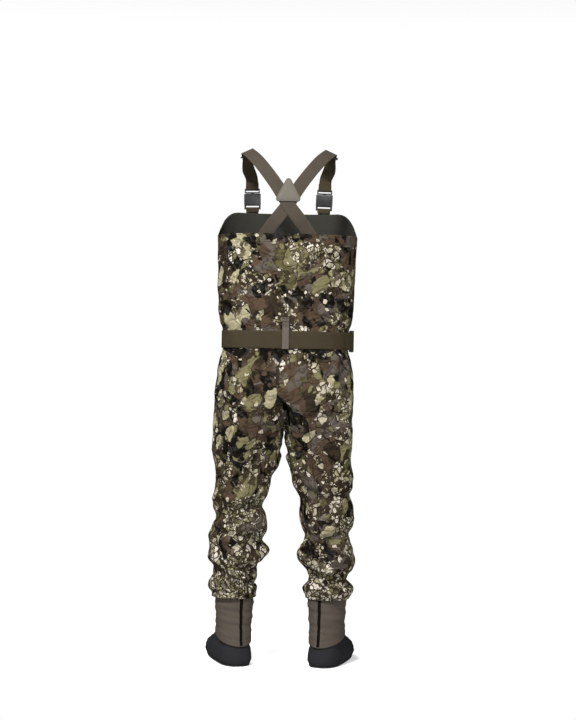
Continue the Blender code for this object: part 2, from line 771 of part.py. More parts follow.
# ---------------------------------------------------------------- chest pocket, zip and D-ring
POCKET_LOW, POCKET_HIGH = 1.060, 1.285
ZIP_LOW, ZIP_HIGH = 1.085, 1.262
SLIDER_Z = ZIP_LOW + 0.010


def chest_y(x, height):
    """Where the chest's outer surface is."""
    half_x, half_y = between(TRUNK, height)
    return -half_y * (1 - (abs(x) / half_x) ** TRUNK_SQUARENESS) ** (1 / TRUNK_SQUARENESS)


def make_pocket(cloth, tape, coil, metal):
    columns, rows, half = 8, 4, 0.088
    points, faces = [], []
    for r in range(rows + 1):
        height = POCKET_HIGH + (POCKET_LOW - POCKET_HIGH) * r / rows
        for c in range(columns + 1):
            x = -half + 2 * half * c / columns
            points.append(Vector((x, chest_y(x, height), height)))
    for r in range(rows):
        for c in range(columns):
            a = r * (columns + 1) + c
            faces.append((a, a + columns + 1, a + columns + 2, a + 1))
    normals = point_normals(points, faces)
    sheet_solid("chest_pocket_panel", points, normals, faces, 0.0012, cloth, lift=0.0024)

    face_y = min(chest_y(0, ZIP_LOW), chest_y(0, ZIP_HIGH)) - 0.0030
    box("zip_tape", (-0.014, face_y - 0.0008, ZIP_LOW), (0.014, face_y, ZIP_HIGH), tape)
    coil_y = face_y - 0.0011
    box("zip_coil", (-0.0030, coil_y - 0.0012, ZIP_LOW + 0.002), (0.0030, coil_y, ZIP_HIGH - 0.002), coil)

    top_y = coil_y - 0.0016
    low, high = (-0.0055, top_y - 0.0018, SLIDER_Z - 0.006), (0.0055, top_y, SLIDER_Z + 0.006)
    slider = box("zip_slider", low, high, metal, None, 0.0006)
    low, high = (-0.0022, top_y - 0.0050, SLIDER_Z - 0.004), (0.0022, top_y - 0.0010, SLIDER_Z + 0.005)
    bridge = box("bridge", low, high, metal)
    boolean(slider, bridge, "UNION")
    low, high = (-0.01, top_y - 0.0036, SLIDER_Z - 0.0022), (0.01, top_y - 0.0018, SLIDER_Z + 0.0032)
    eye = box("eye", low, high, metal)
    boolean(slider, eye, "DIFFERENCE")

    pin_y, pin_z = top_y - 0.0027, SLIDER_Z + 0.0005
    place = Matrix.Translation((0, pin_y, pin_z))
    pull = box("zip_pull", (-0.0045, -0.0006, -0.0300), (0.0045, 0.0006, 0.0006), metal, place)
    gap = box("pull_gap", (-0.0029, -0.01, -0.0080), (0.0029, 0.01, -0.0006), metal, place)
    boolean(pull, gap, "DIFFERENCE")


def d_ring_frame():
    """The ring's bar: its centre, which way is off the chest, and which way the bar lies."""
    x, height = -0.128, 1.222
    outward = Vector((-0.42, -0.91, 0)).normalized()
    bar = Vector((x, chest_y(x, height), height)) + outward * 0.0070
    return bar, outward, Vector((0, 0, 1)).cross(outward).normalized()


def make_d_ring(cloth, metal):
    bar, outward, across = d_ring_frame()
    folded_tab("d_ring_tab", bar, RING_WIRE, outward, across, 0.020, WEBBING, 0.036, cloth)
    half, drop = 0.0130, 0.020
    path = [bar - across * half, bar + across * half]
    for n in range(9):
        turn = math.pi * n / 8
        path.append(bar + across * half * math.cos(turn) - Vector((0, 0, 0.004 + drop * math.sin(turn))))
    wire_object("d_ring", path, RING_WIRE, metal, closed=True)


# ---------------------------------------------------------------- the object
for old in list(bpy.data.objects):
    bpy.data.objects.remove(old)
waders = bpy.data.objects.new("waders", None)
bpy.context.scene.collection.objects.link(waders)
waders.location = ORIGIN_SHIFT

shell_cloth = material("camouflage_laminate", (0.105, 0.090, 0.060), 0.80)
neoprene = material("neoprene", (0.030, 0.030, 0.032), 0.85)
sole_rubber = material("sole_neoprene", (0.020, 0.020, 0.022), 0.90)
guard_cloth = material("guard_cloth", (0.110, 0.088, 0.068), 0.85)
stripe_tape = material("stripe_tape", (0.006, 0.006, 0.006), 0.70)
elastic_web = material("suspender_elastic", (0.120, 0.100, 0.080), 0.85)
belt_web = material("belt_webbing", (0.095, 0.080, 0.052), 0.80)
loop_cloth = material("loop_cloth", (0.165, 0.140, 0.120), 0.85)
yoke_leather = material("yoke_patch", (0.250, 0.230, 0.180), 0.60)
buckle_plastic = material("buckle_plastic", (0.012, 0.012, 0.012), 0.45)
steel = material("steel", (0.450, 0.440, 0.420), 0.35, 1.0)

make_shell(shell_cloth)
for side, name in ((1, "left"), (-1, "right")):
    make_foot(side, name, neoprene, sole_rubber)
    make_guard(side, name, guard_cloth, stripe_tape)
    make_lace_hook(side, name, belt_web, steel)
make_suspenders(elastic_web, belt_web, buckle_plastic)
make_yoke(yoke_leather)
make_belt(belt_web, loop_cloth, buckle_plastic)
make_pocket(shell_cloth, stripe_tape, stripe_tape, steel)
make_d_ring(belt_web, steel)
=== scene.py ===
"""Looks for a pair of stockingfoot chest waders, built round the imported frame.

Metres, +Z up; the wearer faces -Y and the wearer's left is +X. The shell's surface, the straps' routes
and the feet repeat the CAD model's own stations, so each piece lies where its solid does.
"""

import math

import bpy
import numpy as np
from mathutils import Matrix, Vector, noise


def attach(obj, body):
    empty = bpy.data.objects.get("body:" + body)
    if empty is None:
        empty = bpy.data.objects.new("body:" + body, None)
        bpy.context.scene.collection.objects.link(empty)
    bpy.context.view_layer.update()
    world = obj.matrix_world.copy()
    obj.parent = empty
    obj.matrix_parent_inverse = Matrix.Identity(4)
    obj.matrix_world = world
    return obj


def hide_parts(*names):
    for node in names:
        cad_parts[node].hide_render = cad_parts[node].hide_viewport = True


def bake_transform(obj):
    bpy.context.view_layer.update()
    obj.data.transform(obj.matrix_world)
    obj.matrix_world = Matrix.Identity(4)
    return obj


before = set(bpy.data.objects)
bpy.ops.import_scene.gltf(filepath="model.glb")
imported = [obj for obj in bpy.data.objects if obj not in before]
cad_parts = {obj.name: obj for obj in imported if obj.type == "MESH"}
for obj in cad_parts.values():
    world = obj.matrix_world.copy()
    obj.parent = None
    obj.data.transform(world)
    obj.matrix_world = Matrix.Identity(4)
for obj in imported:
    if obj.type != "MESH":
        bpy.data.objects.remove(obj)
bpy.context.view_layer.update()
scene = bpy.context.scene
HOME = Vector((0, 0.0154, 0))
SIDES = ((1, "left"), (-1, "right"))

# ---------------------------------------------------------------- camera, light and floor
camera = bpy.data.objects.new("camera", bpy.data.cameras.new("camera"))
scene.collection.objects.link(camera)
camera.data.lens = 81.6
camera.location = (-0.0083, 4.8154, 0.89)
camera.rotation_euler = (math.pi / 2, -0.0195, math.pi)
scene.camera = camera
scene.view_settings.view_transform = "Standard"

world = bpy.data.worlds.new("studio")
world.use_nodes = True
sky = world.node_tree.nodes.new("ShaderNodeTexCoord")
height = world.node_tree.nodes.new("ShaderNodeSeparateXYZ")
dimmer = world.node_tree.nodes.new("ShaderNodeMapRange")
for socket, value in zip(list(dimmer.inputs)[1:5], (0.20, 0.55, 1.0, 0.20)):
    socket.default_value = value
world.node_tree.links.new(sky.outputs["Generated"], height.inputs[0])
world.node_tree.links.new(height.outputs[2], dimmer.inputs[0])
world.node_tree.links.new(dimmer.outputs[0], world.node_tree.nodes["Background"].inputs["Strength"])
world.node_tree.nodes["Background"].inputs["Color"].default_value = (1, 1, 1, 1)
scene.world = world


def area_light(name, place, target, size, power):
    lamp = bpy.data.lights.new(name, "AREA")
    lamp.shape, lamp.size, lamp.size_y = "RECTANGLE", *size
    lamp.energy = power
    made = bpy.data.objects.new(name, lamp)
    scene.collection.objects.link(made)
    made.location = place
    made.rotation_euler = (Vector(target) - Vector(place)).to_track_quat("-Z", "Y").to_euler()


area_light("key", (1.3, 2.9, 3.9), (0, 0, 0.8), (0.8, 0.8), 470)
area_light("fill", (-2.2, 3.4, 1.4), (0, 0, 0.8), (1.2, 1.8), 75)
area_light("front", (1.2, -3.4, 3.2), (0, 0, 0.8), (1.6, 1.6), 260)


# ---------------------------------------------------------------- materials
class Paint:
    """A node material. Its calls take sockets or plain values, and give sockets back."""

    def __init__(self, name, roughness, metallic=0.0, gloss=0.0):
        self.material = bpy.data.materials.new(name)
        self.material.use_nodes = True
        self.tree = self.material.node_tree
        self.shader = self.tree.nodes["Principled BSDF"]
        self.shader.inputs["Roughness"].default_value = roughness
        self.shader.inputs["Metallic"].default_value = metallic
        self.shader.inputs["Specular IOR Level"].default_value = gloss

    def put(self, socket, value):
        if isinstance(value, bpy.types.NodeSocket):
            self.tree.links.new(value, socket)
        elif isinstance(value, tuple) and len(value) == 3 and socket.type == "RGBA":
            socket.default_value = (*value, 1)
        else:
            socket.default_value = value

    def node(self, kind, inputs, **settings):
        made = self.tree.nodes.new("ShaderNode" + kind)
        for key, value in settings.items():
            setattr(made, key, value)
        for key, value in inputs.items():
            self.put(made.inputs[key], value)
        return made

    def uv(self, layer="UVMap"):
        return self.node("UVMap", {}, uv_map=layer).outputs[0]

    def place(self):
        return self.node("TexCoord", {}).outputs["Object"]

    def math(self, operation, *values):
        return self.node("Math", dict(enumerate(values)), operation=operation).outputs[0]

    def vector(self, operation, *values):
        return self.node("VectorMath", dict(enumerate(values)), operation=operation).outputs[0]

    def parts(self, vector):
        return self.node("SeparateXYZ", {0: vector}).outputs

    def scaled(self, vector, factors):
        return self.node("Mapping", {"Vector": vector, "Scale": factors}).outputs[0]

    def stretched(self, vector, lengths, turn):
        """Coordinates in which a pattern comes out longer by lengths, along axes turned about Y."""
        inputs = {"Vector": vector, "Scale": lengths, "Rotation": (0, turn, 0)}
        return self.node("Mapping", inputs, vector_type="TEXTURE").outputs[0]

    def noise(self, vector, scale, detail=2.0, rough=0.5, distortion=0.0):
        inputs = {"Vector": vector, "Scale": scale, "Detail": detail}
        return self.node("TexNoise", {**inputs, "Roughness": rough, "Distortion": distortion})

    def cells(self, vector, scale, feature="F1"):
        return self.node("TexVoronoi", {"Vector": vector, "Scale": scale}, feature=feature)

    def above(self, value, edge, soft=0.012):
        """1 where value is above edge, 0 below it, with a soft border."""
        inputs = {"Value": value, "From Min": edge - soft, "From Max": edge + soft}
        return self.node("MapRange", inputs, interpolation_type="SMOOTHSTEP").outputs[0]

    def both(self, a, b):
        return self.math("MULTIPLY", a, b)

    def inverse(self, a):
        return self.math("SUBTRACT", 1.0, a)

    def mix(self, share, low, high, blend="MIX"):
        made = self.node("Mix", {}, data_type="RGBA", blend_type=blend)
        for socket, value in ((made.inputs[0], share), (made.inputs[6], low), (made.inputs[7], high)):
            self.put(socket, value)
        return made.outputs[2]

    def bump(self, height, distance, strength=1.0, under=None):
        inputs = {"Height": height, "Distance": distance, "Strength": strength}
        if under is not None:
            inputs["Normal"] = under
        return self.node("Bump", inputs).outputs[0]

    def finish(self, colour=None, normal=None, roughness=None, **sockets):
        links = {"Base Color": colour, "Normal": normal, "Roughness": roughness}
        for name, value in {**links, **{k.replace("_", " "): v for k, v in sockets.items()}}.items():
            if value is not None:
                self.put(self.shader.inputs[name], value)
        return self.material


LIGHT_GAIN = 2.0


def linear(value):
    """An 8-bit display value on the linear scale."""
    return ((value / 255 + 0.055) / 1.055) ** 2.4 if value > 10 else value / 3294.6


def tone(*display):
    """The surface colour that this light shows as three 8-bit display values."""
    return tuple(linear(value) / LIGHT_GAIN for value in display)


BROWN, GREY_BROWN, DARK_BROWN = tone(81, 67, 54), tone(93, 85, 77), tone(54, 46, 36)
CHARCOAL, BLUE_BLACK = tone(25, 22, 18), tone(45, 44, 43)
OLIVE, LIGHT_OLIVE, MOSS = tone(88, 83, 56), tone(163, 155, 123), tone(119, 113, 82)
CREAM, PALE = tone(227, 217, 204), tone(191, 182, 160)


def stitch_bump(paint, under, dash_along, across, lines, pitch=0.0042):
    """Rows of dashes, at distances from an edge given in lines. Gives (mask, normal)."""
    mask = None
    dashes = paint.above(paint.math("PINGPONG", dash_along, pitch / 2), pitch * 0.16, 0.0002)
    for line in lines:
        off = paint.math("ABSOLUTE", paint.math("SUBTRACT", across, line))
        row = paint.inverse(paint.above(off, 0.00045, 0.00015))
        mask = row if mask is None else paint.math("MAXIMUM", mask, row)
    mask = paint.both(mask, dashes)
    return mask, paint.bump(mask, 0.0005, 0.8, under)


def camouflage(name):
    """A generic woodland print: blotches, rounded leaf-like blobs and clusters of pale lichen scales. It runs
    through space, so that it carries on from panel to panel."""
    paint = Paint(name, 0.78)
    flat, where = paint.uv(), paint.place()
    wobble = paint.vector("SUBTRACT", paint.noise(where, 19, 2.0).outputs["Color"], (0.5, 0.5, 0.5))
    ragged = paint.vector("SUBTRACT", paint.noise(where, 95, 2.0).outputs["Color"], (0.5, 0.5, 0.5))
    warped = paint.vector("MULTIPLY_ADD", wobble, (0.034, 0.034, 0.034), where)
    warped = paint.vector("MULTIPLY_ADD", ragged, (0.010, 0.010, 0.010), warped)
    from_hip_to_knee = {"Value": paint.parts(where)[2], "From Min": 0.85, "From Max": 0.45}
    low_down = paint.node("MapRange", from_hip_to_knee).outputs[0]

    ground = paint.noise(warped, 8.0, 2.0).outputs[0]
    colour = paint.mix(paint.above(ground, 0.54), BROWN, GREY_BROWN)
    colour = paint.mix(paint.above(ground, 0.42), DARK_BROWN, colour)

    def patch(colour, inside, scale, lengths, turn, edge, rim, distortion=0.7):
        """Blotches of one colour, with a dark line along them where rim is above zero."""
        field = paint.noise(paint.stretched(warped, lengths, turn), scale, 2.5, 0.5, distortion).outputs[0]
        if rim:
            colour = paint.mix(paint.both(paint.above(field, edge - rim), 0.8), colour, CHARCOAL)
        return paint.mix(paint.above(field, edge), colour, inside)

    streaks = paint.mix(paint.above(paint.noise(warped, 70, 2.0).outputs[0], 0.55), CHARCOAL, BLUE_BLACK)
    colour = patch(colour, streaks, 10.0, (1.0, 1.0, 2.0), 0.6, 0.565, 0.0, 1.2)
    colour = patch(colour, OLIVE, 11.0, (1.7, 1.0, 1.0), 0.9, 0.590, 0.010)
    colour = patch(colour, GREY_BROWN, 16.0, (1.7, 1.0, 0.9), 0.2, 0.625, 0.012)
    colour = patch(colour, streaks, 17.0, (2.6, 1.0, 1.0), 2.1, 0.590, 0.0, 1.2)
    colour = patch(colour, MOSS, 17.0, (1.0, 1.0, 1.8), -0.5, 0.625, 0.014)

    def blobs(colour, inside, scale, lengths, turn, size, share, rim):
        """Rounded shapes, one to a chosen cell, some larger than others."""
        found = paint.cells(paint.stretched(warped, lengths, turn), scale)
        pick = paint.parts(found.outputs["Color"])
        chosen = paint.above(pick[0], 1 - share, 0.001)
        radius = paint.math("MULTIPLY_ADD", pick[1], size * 0.5, size * 0.7)
        edge = paint.math("SUBTRACT", radius, found.outputs["Distance"])
        colour = paint.mix(paint.both(chosen, paint.above(edge, -rim, 0.02)), colour, CHARCOAL)
        return paint.mix(paint.both(chosen, paint.above(edge, 0.0, 0.02)), colour, inside)

    speckled = paint.mix(paint.above(paint.noise(warped, 130, 1.0).outputs[0], 0.62), LIGHT_OLIVE, PALE)
    colour = blobs(colour, speckled, 12.0, (1.0, 1.0, 1.9), 0.7, 0.42, 0.22, 0.04)
    colour = blobs(colour, MOSS, 19.0, (1.8, 1.0, 1.0), 0.8, 0.42, 0.20, 0.03)
    colour = blobs(colour, speckled, 25.0, (1.0, 1.0, 1.8), -0.6, 0.42, 0.20, 0.04)
    colour = blobs(colour, streaks, 20.0, (1.0, 1.0, 2.4), 1.3, 0.42, 0.22, 0.0)

    def scales(colour, scale, zone_scale, edge, shift, gap, light):
        """Clusters of small pale cells, parted by dark lines, thicker on the legs."""
        moved = paint.vector("ADD", warped, (shift, shift * 0.7, 0))
        field = paint.noise(moved, zone_scale, 2.5, 0.55, 0.6).outputs[0]
        zone = paint.above(paint.math("MULTIPLY_ADD", low_down, 0.080, field), edge, 0.01)
        found = paint.cells(moved, scale)
        border = paint.cells(moved, scale, "DISTANCE_TO_EDGE").outputs["Distance"]
        pick = paint.parts(found.outputs["Color"])
        kept = paint.both(zone, paint.above(pick[2], 0.30, 0.001))
        colour = paint.mix(paint.both(zone, 0.8), colour, DARK_BROWN)
        inside = paint.mix(paint.above(pick[0], light, 0.001), MOSS, LIGHT_OLIVE)
        inside = paint.mix(paint.above(pick[0], light + 0.18, 0.001), inside, PALE)
        inside = paint.mix(paint.above(pick[0], light + 0.55, 0.001), inside, CREAM)
        mottle = paint.above(paint.noise(where, 260, 2.0).outputs[0], 0.5, 0.12)
        inside = paint.mix(0.6, inside, paint.mix(mottle, (0.60, 0.60, 0.55), (1.1, 1.1, 1.1)), "MULTIPLY")
        return paint.mix(paint.both(kept, paint.above(border, gap, 0.03)), colour, inside)

    colour = scales(colour, 54.0, 10.0, 0.615, 3.1, 0.10, 0.20)
    colour = scales(colour, 74.0, 12.0, 0.615, 7.7, 0.12, 0.15)
    colour = scales(colour, 104.0, 10.0, 0.610, 5.3, 0.13, 0.25)

    colour = blobs(colour, PALE, 60.0, (1.0, 1.0, 1.4), 1.0, 0.30, 0.12, 0.06)
    grain = paint.noise(where, 420, 2.0).outputs[0]
    colour = paint.mix(0.35, colour, paint.mix(grain, (0.55, 0.55, 0.55), (1.35, 1.35, 1.35)), "MULTIPLY")

    weave = paint.noise(paint.scaled(flat, (1.0, 2.4, 1)), 900, 1.0).outputs[0]
    normal = paint.bump(weave, 0.0003, 0.35)
    rumple = paint.noise(paint.stretched(where, (1.8, 1.4, 1.0), 0.35), 26, 3.0, 0.5, 0.8).outputs[0]
    creases = paint.math("ABSOLUTE", paint.math("SUBTRACT", rumple, 0.5))
    normal = paint.bump(paint.math("MINIMUM", creases, 0.16), 0.020, 0.9, normal)
    # Painted shade: the print is darkened towards black along the rumple bump's crease lines.
    crease_shade = paint.inverse(paint.above(creases, 0.016, 0.016))
    colour = paint.mix(paint.math("MULTIPLY", crease_shade, 0.45), colour, (0, 0, 0))
    along = paint.parts(flat)
    edges = paint.parts(paint.uv("Edges"))
    side, normal = stitch_bump(paint, normal, along[1], edges[0], (0.0022, 0.0085))
    rim, normal = stitch_bump(paint, normal, along[0], edges[1], (0.0035, 0.0240))
    colour = paint.mix(paint.math("MAXIMUM", side, rim), colour, tone(60, 55, 45))
    return paint.finish(colour, normal)


def lining(name):
    """The laminate's knitted inner face, with sealing tape along its seams."""
    paint = Paint(name, 0.55)
    flat = paint.uv()
    mesh = paint.noise(flat, 700, 1.0).outputs[0]
    # Painted shade: the knit is coloured darker where its bump is low and lighter where it rises.
    colour = paint.mix(paint.above(mesh, 0.5, 0.1), tone(52, 51, 47), tone(62, 61, 56))
    tape = paint.inverse(paint.above(paint.parts(paint.uv("Edges"))[0], 0.011, 0.0004))
    colour = paint.mix(tape, colour, tone(38, 38, 38))
    normal = paint.bump(mesh, 0.0003, 0.3)
    return paint.finish(colour, paint.bump(tape, 0.0003, 1.0, normal))


def woven(name, light, dark, rib=0.0021, pick=0.0011, roughness=0.82, along_ribs=True):
    """Webbing: ribs across or along it, crossed by fine picks. U runs across the strap, V along it."""
    paint = Paint(name, roughness)
    u, v, _ = paint.parts(paint.uv())
    first, second = (u, v) if along_ribs else (v, u)
    ribs = paint.math("ABSOLUTE", paint.math("SINE", paint.math("MULTIPLY", first, math.pi / rib)))
    shift = paint.math("MULTIPLY", paint.math("FLOOR", paint.math("MULTIPLY", first, 1 / rib)), pick * 0.5)
    picks = paint.math("ADD", second, shift)
    picks = paint.math("ABSOLUTE", paint.math("SINE", paint.math("MULTIPLY", picks, math.pi / pick)))
    height = paint.math("MULTIPLY_ADD", picks, 0.5, ribs)
    fade = paint.noise(paint.uv(), 40, 3.0).outputs[0]
    # Painted shade: the colour follows the weave's height, dark in its valleys and light on its ridges.
    colour = paint.mix(paint.math("MULTIPLY", height, 0.62), dark, light)
    colour = paint.mix(0.30, colour, paint.mix(fade, (0.6, 0.6, 0.6), (1.4, 1.4, 1.4)), "MULTIPLY")
    return paint.finish(colour, paint.bump(height, 0.00035, 0.8))


def knit(name, light, dark, pitch=0.0016):
    """A stretch knit with fine lengthwise wales."""
    paint = Paint(name, 0.85)
    u, v, _ = paint.parts(paint.uv())
    wales = paint.math("ABSOLUTE", paint.math("SINE", paint.math("MULTIPLY", u, math.pi / pitch)))
    loops = paint.math("ABSOLUTE", paint.math("SINE", paint.math("MULTIPLY", v, math.pi / (pitch * 0.8))))
    height = paint.math("MULTIPLY_ADD", loops, 0.35, wales)
    fade = paint.noise(paint.uv(), 26, 3.0).outputs[0]
    # Painted shade: the colour follows the knit's height, dark between the wales and loops and light on them.
    colour = paint.mix(paint.math("MULTIPLY", height, 0.7), dark, light)
    colour = paint.mix(0.35, colour, paint.mix(fade, (0.6, 0.6, 0.6), (1.4, 1.4, 1.4)), "MULTIPLY")
    normal = paint.bump(height, 0.0003, 0.6)
    normal = paint.bump(paint.noise(paint.uv(), 30, 2.0).outputs[0], 0.004, 0.25, normal)
    return paint.finish(colour, normal)


def moulded(name, colour, roughness, grain=900):
    """Moulded plastic with a fine spark-eroded grain, a little paler where it is worn."""
    paint = Paint(name, roughness, gloss=0.35)
    where = paint.place()
    fine = paint.noise(where, grain, 2.0).outputs[0]
    scuffs = paint.above(paint.noise(where, 90, 4.0, 0.6).outputs[0], 0.60, 0.06)
    worn = tuple(c * 2.2 + 0.004 for c in colour)
    tint = paint.mix(paint.math("MULTIPLY", scuffs, 0.5), colour, worn)
    rough = paint.math("MULTIPLY_ADD", paint.noise(where, 60, 3.0).outputs[0], 0.2, roughness - 0.1)
    return paint.finish(tint, paint.bump(fine, 0.00015, 0.5), rough)


def brushed(name, colour, roughness):
    """Plated metal with fine lines round it."""
    paint = Paint(name, roughness, 1.0, 0.5)
    where = paint.place()
    lines = paint.noise(paint.scaled(where, (1, 1, 14)), 300, 2.0).outputs[0]
    tint = paint.mix(paint.noise(where, 120, 3.0).outputs[0], tuple(c * 0.75 for c in colour), colour)
    rough = paint.math("MULTIPLY_ADD", lines, 0.25, roughness - 0.1)
    return paint.finish(tint, paint.bump(lines, 0.0001, 0.3), rough)


def leather(name, light, dark):
    """Coated cloth with a fine pebbled grain."""
    paint = Paint(name, 0.62, gloss=0.25)
    flat = paint.uv()
    pebbles = paint.cells(flat, 620, "DISTANCE_TO_EDGE").outputs["Distance"]
    fade = paint.noise(flat, 45, 3.0).outputs[0]
    colour = paint.mix(fade, dark, light)
    # Painted shade: the crevices between the pebbles are coloured dark.
    colour = paint.mix(paint.math("MULTIPLY", paint.above(pebbles, 0.08, 0.06), 0.5), dark, colour)
    return paint.finish(colour, paint.bump(pebbles, 0.0004, 0.5))


PRINT = camouflage("camouflage_print")
LINING = lining("taped_lining")
NEOPRENE = knit("neoprene_jersey", tone(54, 54, 56), tone(30, 30, 32), 0.0013)
SOLE = moulded("sole_rubberised", tone(34, 34, 35), 0.75, 500)
GUARD = knit("gravel_guard_knit", tone(100, 91, 83), tone(63, 56, 50))
TAPE = woven("black_tape", tone(24, 24, 24), tone(10, 10, 10), 0.0016, 0.0010)
ELASTIC = woven("suspender_elastic", tone(90, 82, 72), tone(54, 49, 42), 0.0024, 0.0012)
WEBBING = woven("belt_webbing", tone(77, 69, 54), tone(47, 41, 31), 0.0017, 0.0030, 0.80, False)
LOOP = woven("loop_cloth", tone(116, 107, 98), tone(77, 70, 64), 0.0014, 0.0010)
YOKE = leather("yoke_hide", tone(116, 110, 98), tone(92, 86, 75))
PLASTIC = moulded("buckle_acetal", tone(30, 30, 31), 0.42)
STEEL = brushed("steel", (0.50, 0.49, 0.47), 0.32)
THREAD = woven("thread", tone(96, 90, 78), tone(64, 60, 52), 0.0006, 0.0006)


# ---------------------------------------------------------------- mesh helpers
def make_piece(name, points, faces, paints, flat=None, edges=None, picks=None, smooth=50):
    """A mesh piece in the frame. flat and edges give each face corner's UVs, and picks each face's paint."""
    mesh = bpy.data.meshes.new(name)
    mesh.from_pydata([tuple(p) for p in points], [], [tuple(int(i) for i in f) for f in faces])
    for layer, values in (("UVMap", flat), ("Edges", edges)):
        if values is not None:
            made = mesh.uv_layers.new(name=layer)
            made.data.foreach_set("uv", np.asarray(values, np.float32).ravel())
    for paint in paints:
        mesh.materials.append(paint)
    if picks is not None:
        mesh.polygons.foreach_set("material_index", picks)
    mesh.shade_smooth()
    mesh.set_sharp_from_angle(angle=math.radians(smooth))
    made = bpy.data.objects.new(name, mesh)
    scene.collection.objects.link(made)
    return made


def apply_modifiers(piece):
    """Leaves the evaluated mesh on the piece, with no modifiers."""
    depsgraph = bpy.context.evaluated_depsgraph_get()
    mesh = bpy.data.meshes.new_from_object(piece.evaluated_get(depsgraph))
    piece.modifiers.clear()
    piece.data = mesh


def subdivide(piece):
    """Rounds the surface by one level, with the flat cloth's places kept."""
    step = piece.modifiers.new("fine", "SUBSURF")
    step.levels = step.render_levels = 1
    step.uv_smooth = "NONE"
    apply_modifiers(piece)


def thicken(piece, thickness, inner=0):
    """Gives the surface a thickness on its inner side, in the paint that is inner places further on."""
    step = piece.modifiers.new("thickness", "SOLIDIFY")
    step.thickness = thickness
    step.offset = -1
    step.material_offset = inner
    step.use_even_offset = False
    apply_modifiers(piece)


def smoothstep(t):
    t = min(1.0, max(0.0, t))
    return t * t * (3 - 2 * t)


def between(stations, height):
    """The values of a list of stations at a height, eased a little at each station."""
    ordered = sorted(stations)
    height = min(max(height, ordered[0][0]), ordered[-1][0])
    for low, high in zip(ordered, ordered[1:]):
        if height <= high[0]:
            share = (height - low[0]) / (high[0] - low[0])
            share = (share + smoothstep(share)) / 2
            return [a + (b - a) * share for a, b in zip(low[1:], high[1:])]
    return list(ordered[-1][1:])


def round_angles(count):
    return [2 * math.pi * i / count for i in range(count)]


def superellipse(angle, half_x, half_y, squareness):
    """A point of a rounded rectangle, from an ellipse at squareness 2 to squarer above it."""
    c, s = math.cos(angle), math.sin(angle)
    power = 2 / squareness
    return half_x * math.copysign(abs(c) ** power, c), half_y * math.copysign(abs(s) ** power, s)


def frame_at(origin, along, outward):
    """A placement with local X along, local Z as near outward as can be, and local Y across."""
    x = Vector(along).normalized()
    y = Vector(outward).cross(x).normalized()
    place = Matrix((x, y, x.cross(y))).transposed().to_4x4()
    place.translation = Vector(origin)
    return place


# ---------------------------------------------------------------- the shell
# Height, half width and half depth round the trunk; then one leg's height, centre and half sizes.
TRUNK = (
    (1.330, 0.205, 0.129),
    (1.252, 0.205, 0.129),
    (1.130, 0.202, 0.129),
    (1.040, 0.200, 0.128),
    (1.000, 0.193, 0.126),
    (0.981, 0.185, 0.119),
    (0.915, 0.184, 0.119),
    (0.893, 0.203, 0.131),
    (0.860, 0.214, 0.139),
    (0.800, 0.219, 0.143),
    (0.745, 0.218, 0.142),
)
LEG = (
    (0.660, 0.110, 0.000, 0.1020, 0.115),
    (0.600, 0.111, 0.000, 0.0960, 0.108),
    (0.545, 0.120, 0.000, 0.0860, 0.098),
    (0.480, 0.131, 0.000, 0.0790, 0.088),
    (0.410, 0.130, 0.002, 0.0800, 0.084),
    (0.340, 0.132, 0.006, 0.0850, 0.086),
    (0.270, 0.137, 0.012, 0.0720, 0.079),
    (0.225, 0.137, 0.014, 0.0690, 0.076),
    (0.197, 0.137, 0.016, 0.0650, 0.073),
)
SQUARENESS = 2.5
BIB_BACK_Z, BIB_FRONT_Z, BELT_TOP_Z, WAIST_Z, HIP_END_Z = 1.252, 1.330, 0.981, 0.948, 0.745
THIGH_Z, HEM_Z, CROTCH_Z = 0.660, 0.197, 0.702
ROUND, CROTCH_POINTS = 128, 31
QUARTER, HALF = ROUND // 4, ROUND // 2
LEG_ROUND = HALF + 1 + CROTCH_POINTS
BACK_SEAM, FRONT_SEAM = 4, 52
BIB_ROWS, BELT_ROWS, HIP_ROWS, FORK_ROWS, LEG_ROWS = 33, 4, 25, 10, 57
LAMINATE = 0.0014


def top_edge(angle):
    """Height of the bib's top edge: low across the back and under the arms, high on the chest."""
    return BIB_BACK_Z + (BIB_FRONT_Z - BIB_BACK_Z) * smoothstep((-math.sin(angle) + 0.05) / 0.80)


def trunk_point(angle, height, out=0.0):
    half_x, half_y = between(TRUNK, height)
    x, y = superellipse(angle, half_x + out, half_y + out, SQUARENESS)
    return Vector((x, y, height)) + HOME


def leg_point(side, column, height):
    centre_x, centre_y, half_x, half_y = between(LEG, height)
    angle = math.radians(120) - 2 * math.pi * column / LEG_ROUND
    x, y = centre_x + half_x * math.cos(angle), centre_y + half_y * math.sin(angle)
    return Vector((side * x, y, height)) + HOME


